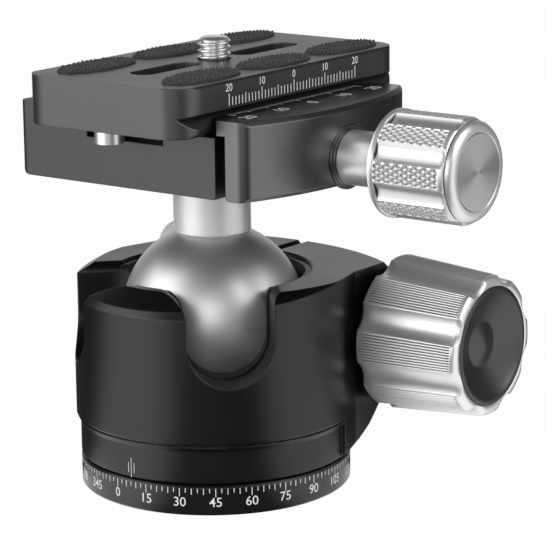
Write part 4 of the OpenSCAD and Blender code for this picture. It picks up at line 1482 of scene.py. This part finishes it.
@dataclass
class ClampAssembly(SubAssembly):
    """Clamp bed, moving jaw and the parts between them."""

    jaw_top: float = 77.4
    mark_sink: float = 0.03
    ticks: Ticks = Ticks(41, 1.0, 1.5, 2.0, width=0.18)
    tick_x: float = 19.7
    first_tick_y: float = -20.0
    figures: RowFigures = RowFigures(3.6)
    number_x: float = 24.6
    bed_corner: Point = (-26.2, 26.0, 62.6)
    low_round: float = 2.3
    top_round: float = 2.0
    washer_x: float = 32.42
    washer_bore: float = 3.5
    washer_radius: float = 6.12
    washer_points: int = 96

    def build(self, tree: TickTree) -> None:
        """Builds and dresses the clamp.

        Args:
            tree: The tree that repeats ticks along a row.
        """
        self.hand_over(self.bed(), "clamp", CLAMP_BLACK, "clamp_bed")
        self.dress(JAW_BLACK, "moving_jaw")
        self.dress(STEEL, "guide_pins", "jaw_screw")
        self.hand_over(self.washer(), "jaw", JAW_BLACK, "jaw_washer")
        self.dress(SPRING_STEEL, "jaw_springs")
        level = self.jaw_top - self.mark_sink
        self.mark(
            tree, "jaw_ticks", "jaw", self.ticks,
            Origin=[self.tick_x * MM, self.first_tick_y * MM, level * MM],
            Pitch=MM, Reach=Axis.X.value, Face=Axis.Z.value,
        )
        numbers = self.figures.make(
            "jaw_numbers", lambda p: (self.number_x - p[:, 1], p[:, 0], level + p[:, 2])
        )
        self.hand_over(numbers, "jaw", MARK_WHITE)

    def washer(self) -> bpy.types.Object:
        """The thrust washer, which fills the jaw's spot face flush.

        Returns:
            The piece.
        """
        bore, r = self.washer_bore, self.washer_radius
        stations = [(0.0, bore), (0.0, r), (0.53, r), (0.58, r - 0.06), (0.58, 5.3), (0.8, 5.2), (0.8, bore)]
        start = (self.washer_x, *CLAMP_KNOB_AXIS[1:])
        turning = Turning(start, Vector(Axis.X.value), even_angles(self.washer_points))
        return turning.piece("jaw_washer_flush", stations)

    def bed(self) -> bpy.types.Object:
        """The clamp bed with the two long edges of its outer side rounded.

        Returns:
            The piece.
        """
        obj = new_object("clamp_bed_round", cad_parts["clamp_bed"].data.copy())
        obj.data.materials.clear()
        tidy_mesh(obj)
        x, y, z = self.bed_corner
        over = 1.0
        end = y + over
        cut_with(obj, round_cutter(self.low_round, lambda u, v, w: (x + u, w, z + v), -end, end))
        cut_with(obj, round_cutter(self.top_round, lambda u, v, w: (x + u, w, self.jaw_top - v), -end, end))
        return obj


@dataclass
class ClampKnobAssembly(SubAssembly):
    """Clamp knob with knurled lands and a spun face."""

    start: Point = (33.27, *CLAMP_KNOB_AXIS[1:])
    sleeve: float = 5.2
    bush: float = 4.35
    bush_end_at: float = 46.0
    bore: float = 3.05
    flange_at: float = 43.5
    end_at: float = 61.3
    radius: float = 10.0
    cap: float = 7.12
    flutes: Fluting = Fluting(cut=3.15, deep=0.9)
    knurl_length: float = 2.0
    knurl_width: float = 1.12
    knurl_deep: float = 0.32
    knurl_flat: float = 0.45
    knurl_margin: float = 0.02
    knurl_points: int = 8
    land_points: int = 14
    scallop_points: int = 18

    def build(self) -> None:
        """Builds and dresses the clamp knob."""
        self.dress(BRASS, "knob_bush")
        self.dress(SPUN_FACE, "knob_cap")
        self.hand_over(self.knob(), "clamp_knob", CLAMP_KNOB_SATIN, "clamp_knob")

    def ring_angles(self) -> np.ndarray:
        """Places the points of a ring: several to each knurl on the lands, even in the scallops.

        Returns:
            The angles.
        """
        step = self.knurl_width / self.knurl_points / self.radius
        land = [i * step for i in range(-self.land_points, self.land_points + 1)]
        scallop = np.linspace(land[-1], self.flutes.pitch + land[0], self.scallop_points)[1:-1]
        sector = np.array([*land, *scallop])
        return np.concatenate([self.flutes.land_middle(k) + sector for k in range(self.flutes.count)])

    def knob(self) -> bpy.types.Object:
        """The knob's body.

        Returns:
            The piece.
        """
        r = self.radius
        f, e, bush_end = (at - self.start[0] for at in (self.flange_at, self.end_at, self.bush_end_at))
        first = f + 1.5

        def radius_at(station: tuple, a: np.ndarray) -> np.ndarray:
            """Radius with scallops and diamond knurl.

            Args:
                station: Place along the axis, radius and shares of the scallops and of the knurl.
                a: Angles.

            Returns:
                The radius at each angle.
            """
            x, radius, flute, knurl = station
            out = self.flutes.radius(radius, flute, a)
            if knurl > 0.0:
                arc, mask = self.flutes.on_land(radius, a, self.knurl_margin)
                along, round_it = (x - first) / self.knurl_length, arc / self.knurl_width
                wave = np.maximum(zigzag(along + round_it), zigzag(along - round_it))
                groove = np.clip((wave - self.knurl_flat) / (1.0 - self.knurl_flat), 0.0, 1.0)
                out = out - self.knurl_deep * knurl * mask * groove
            return out

        step = self.knurl_length / self.knurl_points
        stations: list[tuple] = [
            (0.0, self.bush, 0, 0), (0.0, 4.9, 0, 0), (0.3, self.sleeve, 0, 0), (f - 0.25, self.sleeve, 0, 0),
            (f, self.sleeve + 0.25, 0, 0), (f, r - 0.25, 0, 0), (f + 0.3, r + 0.17, 0, 0),
            (f + 0.95, r + 0.17, 0, 0), (f + 1.15, r + 0.02, 0, 0), (f + 1.2, r - 0.25, 0, 0),
            (f + 1.22, r - 0.05, 1.0, 0), (f + 1.35, r, 1.0, 0.5), (first, r, 1.0, 1.0),
            *((x, r, 1.0, 1.0) for x in np.arange(first + step, e - 2.8, step)),
            (e - 2.75, r, 1.0, 1.0), (e - 2.6, r, 1.0, 0.3), (e - 2.45, r, 1.0, 0),
            (e - 2.2, r - 0.04, 0.92, 0), (e - 1.95, r - 0.14, 0.7, 0), (e - 1.7, r - 0.3, 0.4, 0),
            (e - 1.5, r - 0.48, 0.1, 0), (e - 1.42, r - 0.8, 0, 0), (e - 1.27, r - 0.8, 0, 0),
            (e - 1.2, r - 0.6, 0, 0), (e - 0.85, r - 0.75, 0, 0), (e - 0.5, r - 1.02, 0, 0),
            (e - 0.2, r - 1.4, 0, 0), (e - 0.04, r - 1.8, 0, 0), (e, r - 2.05, 0, 0),
            (e, self.cap + 0.28, 0, 0),
            (e - 0.25, self.cap + 0.05, 0, 0), (e - 0.9, self.cap, 0, 0), (e - 0.9, self.bore, 0, 0),
            (bush_end, self.bore, 0, 0), (bush_end, self.bush, 0, 0),
        ]
        turning = Turning(self.start, Vector(Axis.X.value), self.ring_angles())
        return turning.piece("clamp_knob_knurled", stations, radius_at, smooth_below=38.0, split=True)


@dataclass
class PlateAssembly(SubAssembly):
    """Camera plate, its scale, grip pads and camera screw."""

    centre_x: float = 0.8
    side_x: float = 20.15
    plate_top: float = 83.7
    mark_sink: float = 0.03
    ticks: Ticks = Ticks(41, 1.55, 1.9, 2.25, width=0.22)
    first_tick_y: float = -20.0
    tick_low: float = 79.1
    figures: RowFigures = RowFigures(2.05)
    number_z: float = 82.42
    pad_top: float = 84.1
    pad_dx: float = 12.6
    pad_rows: tuple[float, ...] = (-19.5, 2.65, 24.9)
    pad_length: float = 19.9
    pad_width: float = 9.2
    pad_power: float = 2.15
    pad_points: int = 72
    pimple_pitch: float = 0.74
    pimple_row: float = 0.87
    pimple_size: float = 0.33
    pimple_shift: float = 0.12
    pimple_margin: float = 0.4
    screw_y: float = 0.5
    screw_r: float = 3.175
    screw_neck: float = 2.7
    screw_head: float = 6.2
    screw_pitch: float = 1.27
    screw_depth: float = 0.62
    screw_low: float = 84.0
    screw_top: float = 88.0
    screw_smooth: float = 62.0
    screw_points: int = 72

    def build(self, tree: TickTree, pimples: RepeatTree) -> None:
        """Builds and dresses the plate.

        Args:
            tree: The tree that repeats ticks along a row.
            pimples: The tree that puts domes on points.
        """
        self.dress(PLATE_BLACK, "camera_plate")
        self.hand_over(self.pads(), "plate", PAD_RUBBER, "grip_pads")
        self.dress(SCREW_BRIGHT, "stop_screws")
        self.dress(NYLON, "screw_bush")
        self.hand_over(self.screw(), "camera_screw", SCREW_BRIGHT, "camera_screw")
        face = self.side_x - self.mark_sink
        self.mark(
            tree, "plate_ticks", "plate", self.ticks,
            Origin=[face * MM, self.first_tick_y * MM, self.tick_low * MM],
            Pitch=MM, Reach=Axis.Z.value, Face=Axis.X.value,
        )
        numbers = self.figures.make(
            "plate_numbers", lambda p: (face + p[:, 2], p[:, 0], self.number_z + p[:, 1])
        )
        self.hand_over(numbers, "plate", MARK_WHITE)
        self.hand_over(self.pimples(pimples), "plate", PAD_RUBBER)

    def screw(self) -> bpy.types.Object:
        """The camera screw with its thread.

        Returns:
            The screw.
        """

        def radius_at(station: tuple, a: np.ndarray) -> np.ndarray:
            """Radius of a ring: threaded above the neck.

            Args:
                station: Place along the axis, radius and share of the thread.
                a: Angles.

            Returns:
                The radius at each angle.
            """
            z, r, share = station
            flank = np.clip(1.5 * zigzag(z / self.screw_pitch - a / FULL_TURN) - 0.3, 0.0, 1.0)
            return r - share * self.screw_depth * (0.5 - 0.5 * np.cos(math.pi * flank))

        low, top, neck = self.screw_low, self.screw_top, self.screw_neck
        head, r = self.screw_head, self.screw_r
        stations: list[tuple] = [
            (75.28, head - 0.3, 0), (75.58, head, 0), (78.4, head, 0), (78.67, head - 0.27, 0),
            (78.67, neck, 0), (low - 0.35, neck, 0), (low, r - 0.35, 0),
        ]
        fade, step = 0.3, 0.07
        for z in np.arange(low + 0.08, top - 0.5, step):
            stations.append((z, r, min(1.0, (z - low) / fade, (top - 0.15 - z) / fade)))
        stations += [(top - 0.42, r - 0.3, 0), (top, r - 0.75, 0)]
        start = (self.centre_x, self.screw_y, 0.0)
        turning = Turning(start, Vector(Axis.Z.value), even_angles(self.screw_points))
        screw = turning.piece(
            "camera_screw_threaded", stations, radius_at, closed=False, smooth_below=self.screw_smooth
        )
        x, y, half_width, reach = self.centre_x, self.screw_y, 0.7, 7.0
        slot = box_object("coin_slot", (x - half_width, y - reach, 74.0), (x + half_width, y + reach, 76.88))
        cut_with(screw, slot, self.screw_smooth)
        return screw

    def pad_middles(self) -> list[tuple[float, float]]:
        """Middles of the pads, one row of three after the other."""
        return [(self.centre_x + side * self.pad_dx, middle) for side in (-1, 1) for middle in self.pad_rows]

    def pad_reach(self, x: float, y: float) -> float:
        """Tells how far out of a pad's middle a point lies.

        Args:
            x: Distance across the pad.
            y: Distance along the pad.

        Returns:
            A number that is 1 where the pimples end.
        """
        across = self.pad_width / 2.0 - self.pimple_margin
        along = self.pad_length / 2.0 - self.pimple_margin
        return (abs(x) / across) ** self.pad_power + (abs(y) / along) ** self.pad_power

    def pads(self) -> bpy.types.Object:
        """The oval grip pads.

        Returns:
            The pads as one piece.
        """
        turn = even_angles(self.pad_points)
        power = 2.0 / self.pad_power
        across = np.sign(np.cos(turn)) * np.abs(np.cos(turn)) ** power
        along = np.sign(np.sin(turn)) * np.abs(np.sin(turn)) ** power
        levels = ((self.plate_top - 0.3, 0.0), (self.pad_top - 0.1, 0.0), (self.pad_top, 0.12))
        made = []
        for middle_x, middle_y in self.pad_middles():
            rings = []
            for z, inset in levels:
                x = middle_x + across * (self.pad_width / 2.0 - inset)
                y = middle_y + along * (self.pad_length / 2.0 - inset)
                rings.append(np.stack([x, y, np.full(len(turn), z)], axis=1))
            made.append(to_mesh_object("pad", *swept_rings(rings, closed=False)))
        return join("grip_pads_oval", made)

    def pimples(self, tree: RepeatTree) -> bpy.types.Object:
        """Domes all over the grip pads.

        Args:
            tree: The tree that puts domes on points.

        Returns:
            The domes as one piece.
        """
        jitter = np.random.RandomState(5)
        points = []
        rows = int(self.pad_length / self.pimple_pitch)
        columns = 10
        for middle_x, middle_y in self.pad_middles():
            for i in range(-rows, rows + 1):
                for j in range(-columns, columns + 1):
                    y = i * self.pimple_pitch * self.pimple_row
                    x = (j + 0.5 * (i % 2)) * self.pimple_pitch
                    if self.pad_reach(x, y) < 1.0:
                        dx, dy = jitter.uniform(-self.pimple_shift, self.pimple_shift, 2)
                        points.append((middle_x + x + dx, middle_y + y + dy, self.pad_top))
        seed = bpy.data.objects.new("pimple_seed", bpy.data.meshes.new("pimple_seed"))
        seed.data.from_pydata([(x * MM, y * MM, z * MM) for x, y, z in points], [], [])
        values = {"Size": self.pimple_size * MM, "Seed": 3, "Material": self.shop.material(PAD_RUBBER)}
        made = tree.make("grip_pimples", values, seed)
        bpy.data.objects.remove(seed)
        return made


# ---------------------------------------------------------------- stage


@dataclass(frozen=True)
class Glow:
    """A bright sector of the studio, in degrees: its middle, half its width and its soft edge."""

    azimuth: float
    half: float
    soft: float
    gain: float


@dataclass(frozen=True)
class Lamp:
    """A soft box that faces the object: angles in degrees, sizes in metres, power in watts."""

    name: str
    azimuth: float
    elevation: float
    distance: float
    width: float
    height: float
    power: float


@dataclass
class Studio:
    """Floor, lights and camera."""

    azimuth: float = 36.86
    elevation: float = 13.12
    roll: float = -0.68
    camera_at: Point = (310.99, -395.06, 158.15)
    sensor: float = 36.0
    sight: tuple[float, float] = (0.01, 20.0)
    focal_pixels: float = 2627.1
    frame_pixels: float = 547.0
    floor_half: float = 3000.0
    floor_z: float = -0.02
    floor_white: float = 0.975
    floor_grain: float = 40.0
    floor_tones: tuple[float, float] = (0.86, 0.9)
    aim_height: float = 0.045
    dim: float = 0.06
    overhead: float = 0.06
    glow_up_to: float = 0.28
    glow_gone_at: float = 0.65
    white: tuple[float, float, float, float] = (1.0, 1.0, 1.0, 1.0)
    glows: tuple[Glow, ...] = (
        Glow(-24.0, 12.0, 30.0, 1.3), Glow(104.0, 10.0, 30.0, 1.05), Glow(219.0, 10.0, 24.0, 0.85),
    )
    lamps: tuple[Lamp, ...] = (
        Lamp("key_left", -36.0, 17.0, 0.8, 1.1, 0.5, 2.6),
        Lamp("fill_right", 98.0, 38.0, 0.8, 0.6, 0.5, 2.6),
        Lamp("front_soft", 30.0, 12.0, 1.0, 0.6, 0.5, 1.9),
        Lamp("key_high", -50.0, 44.0, 0.8, 0.7, 0.4, 1.2),
    )

    def build(self) -> None:
        """Builds the stage."""
        glow = self.glow()
        self.floor(glow)
        self.world(glow)
        for lamp in self.lamps:
            self.hang(lamp)
        self.camera()
        bpy.context.scene.view_settings.view_transform = "Standard"

    def glow(self) -> bpy.types.NodeTree:
        """Brightness of the studio by direction, level with the object.

        Returns:
            The group, with the brightness as its output.
        """
        g = Group("studio_glow", SHADER_TREE, [("Direction", VECTOR, Axis.Z.value)], [("Glow", FLOAT)])
        way = g.vector("NORMALIZE", g.vector("MULTIPLY", g.inp["Direction"], (1.0, 1.0, 0.0)))
        total: object = self.dim
        for glow in self.glows:
            toward = g.vector("DOT_PRODUCT", way, direction(glow.azimuth))
            inner, outer = (math.cos(math.radians(at)) for at in (glow.half, glow.half + glow.soft))
            mask = g.ramp(toward, outer, inner, high=glow.gain, interpolation_type="SMOOTHSTEP")
            total = g.math("ADD", total, mask)
        g.link(total, g.out["Glow"])
        return g.tree

    def floor(self, glow: bpy.types.NodeTree) -> None:
        """A large white floor that keeps a soft contact shadow and mirrors the studio's glow.

        Args:
            glow: The studio's brightness by direction.
        """
        half = self.floor_half
        sides = [(-half, -half), (half, -half), (half, half), (-half, half)]
        corners = np.array([(x, y, self.floor_z) for x, y in sides])
        floor = to_mesh_object("studio_floor", corners, [(0, 1, 2, 3)])
        mat = bpy.data.materials.new("floor_white")
        mat.use_nodes = True
        nodes = Nodes(mat.node_tree)
        nodes.tree.nodes.clear()
        grain = nodes.add("ShaderNodeTexNoise", {"Scale": self.floor_grain})
        dull, clean = ((level, level, level, 1.0) for level in self.floor_tones)
        tone = nodes.blend(grain.outputs[0], dull, clean)
        matte = nodes.add("ShaderNodeBsdfPrincipled", {"Base Color": tone, "Roughness": 0.9})
        white = nodes.add("ShaderNodeEmission", {"Color": self.white, "Strength": 1.0})
        around = nodes.add("ShaderNodeGroup", {"Direction": nodes.place()}, node_tree=glow)
        mirror = nodes.add("ShaderNodeEmission", {"Strength": around.outputs["Glow"]})
        path = nodes.add("ShaderNodeLightPath")
        share = nodes.math("MULTIPLY", path.outputs["Is Camera Ray"], self.floor_white)
        seen = nodes.blend_shaders(share, matte, white)
        mix = nodes.blend_shaders(path.outputs["Is Glossy Ray"], seen, mirror)
        nodes.add("ShaderNodeOutputMaterial", {"Surface": mix.outputs[0]})
        floor.data.materials.append(mat)

    def world(self, glow: bpy.types.NodeTree) -> None:
        """World light: the same glow by direction up to a height, dim above it.

        Args:
            glow: The studio's brightness by direction.
        """
        world = bpy.data.worlds.new("studio_world")
        bpy.context.scene.world = world
        world.use_nodes = True
        nodes = Nodes(world.node_tree)
        nodes.tree.nodes.clear()
        way = nodes.add("ShaderNodeTexCoord").outputs["Generated"]
        height = nodes.add("ShaderNodeSeparateXYZ", {0: way}).outputs[2]
        around = nodes.add("ShaderNodeGroup", {0: way}, node_tree=glow)
        fade = {"low": 1.0, "high": 0.0, "interpolation_type": "SMOOTHSTEP"}
        lit = nodes.ramp(height, self.glow_up_to, self.glow_gone_at, **fade)
        level = nodes.math("ADD", nodes.math("MULTIPLY", around.outputs[0], lit), self.overhead)
        light = nodes.add("ShaderNodeBackground", {"Strength": level})
        white = nodes.add("ShaderNodeBackground", {"Color": self.white, "Strength": 1.0})
        path = nodes.add("ShaderNodeLightPath")
        mix = nodes.blend_shaders(path.outputs["Is Camera Ray"], light, white)
        nodes.add("ShaderNodeOutputWorld", {"Surface": mix.outputs[0]})

    def hang(self, lamp: Lamp) -> None:
        """Hangs a soft box.

        Args:
            lamp: Its place, size and power.
        """
        data = bpy.data.lights.new(lamp.name, "AREA")
        data.shape = "RECTANGLE"
        data.size, data.size_y = lamp.width, lamp.height
        data.energy = lamp.power
        obj = new_object(lamp.name, data)
        way = direction(lamp.azimuth, lamp.elevation)
        obj.location = way * lamp.distance + Vector((0, 0, self.aim_height))
        obj.rotation_mode = "QUATERNION"
        obj.rotation_quaternion = way.to_track_quat("Z", "Y")

    def camera(self) -> None:
        """The camera, at the fitted place."""
        data = bpy.data.cameras.new("studio_camera")
        data.sensor_width = self.sensor
        data.lens = data.sensor_width * self.focal_pixels / self.frame_pixels
        data.clip_start, data.clip_end = self.sight
        camera = new_object("studio_camera", data)
        a, r = math.radians(self.azimuth), math.radians(self.roll)
        back = direction(self.azimuth, self.elevation)
        right = Vector((math.cos(a), math.sin(a), 0.0))
        up = back.cross(right)
        side = right * math.cos(r) + up * math.sin(r)
        top = up * math.cos(r) - right * math.sin(r)
        turn = Matrix((side, top, back)).transposed().to_4x4()
        camera.matrix_world = Matrix.Translation(Vector(self.camera_at) * MM) @ turn
        bpy.context.scene.camera = camera


def main() -> None:
    """Builds every sub-assembly and the stage."""
    logging.basicConfig(level=logging.INFO, format="%(name)s: %(message)s")
    shop = FinishShop()
    ring_ticks = build_ring_ticks()
    row_ticks = build_row_ticks()
    BaseAssembly(shop).build(ring_ticks)
    HousingAssembly(shop).build(ring_ticks)
    BallAssembly(shop).build()
    MainKnobAssembly(shop).build()
    PanKnobAssembly(shop).build()
    ClampAssembly(shop).build(row_ticks)
    ClampKnobAssembly(shop).build()
    PlateAssembly(shop).build(row_ticks, build_pimple_tree())
    Studio().build()


if __name__ == "__main__":
    main()
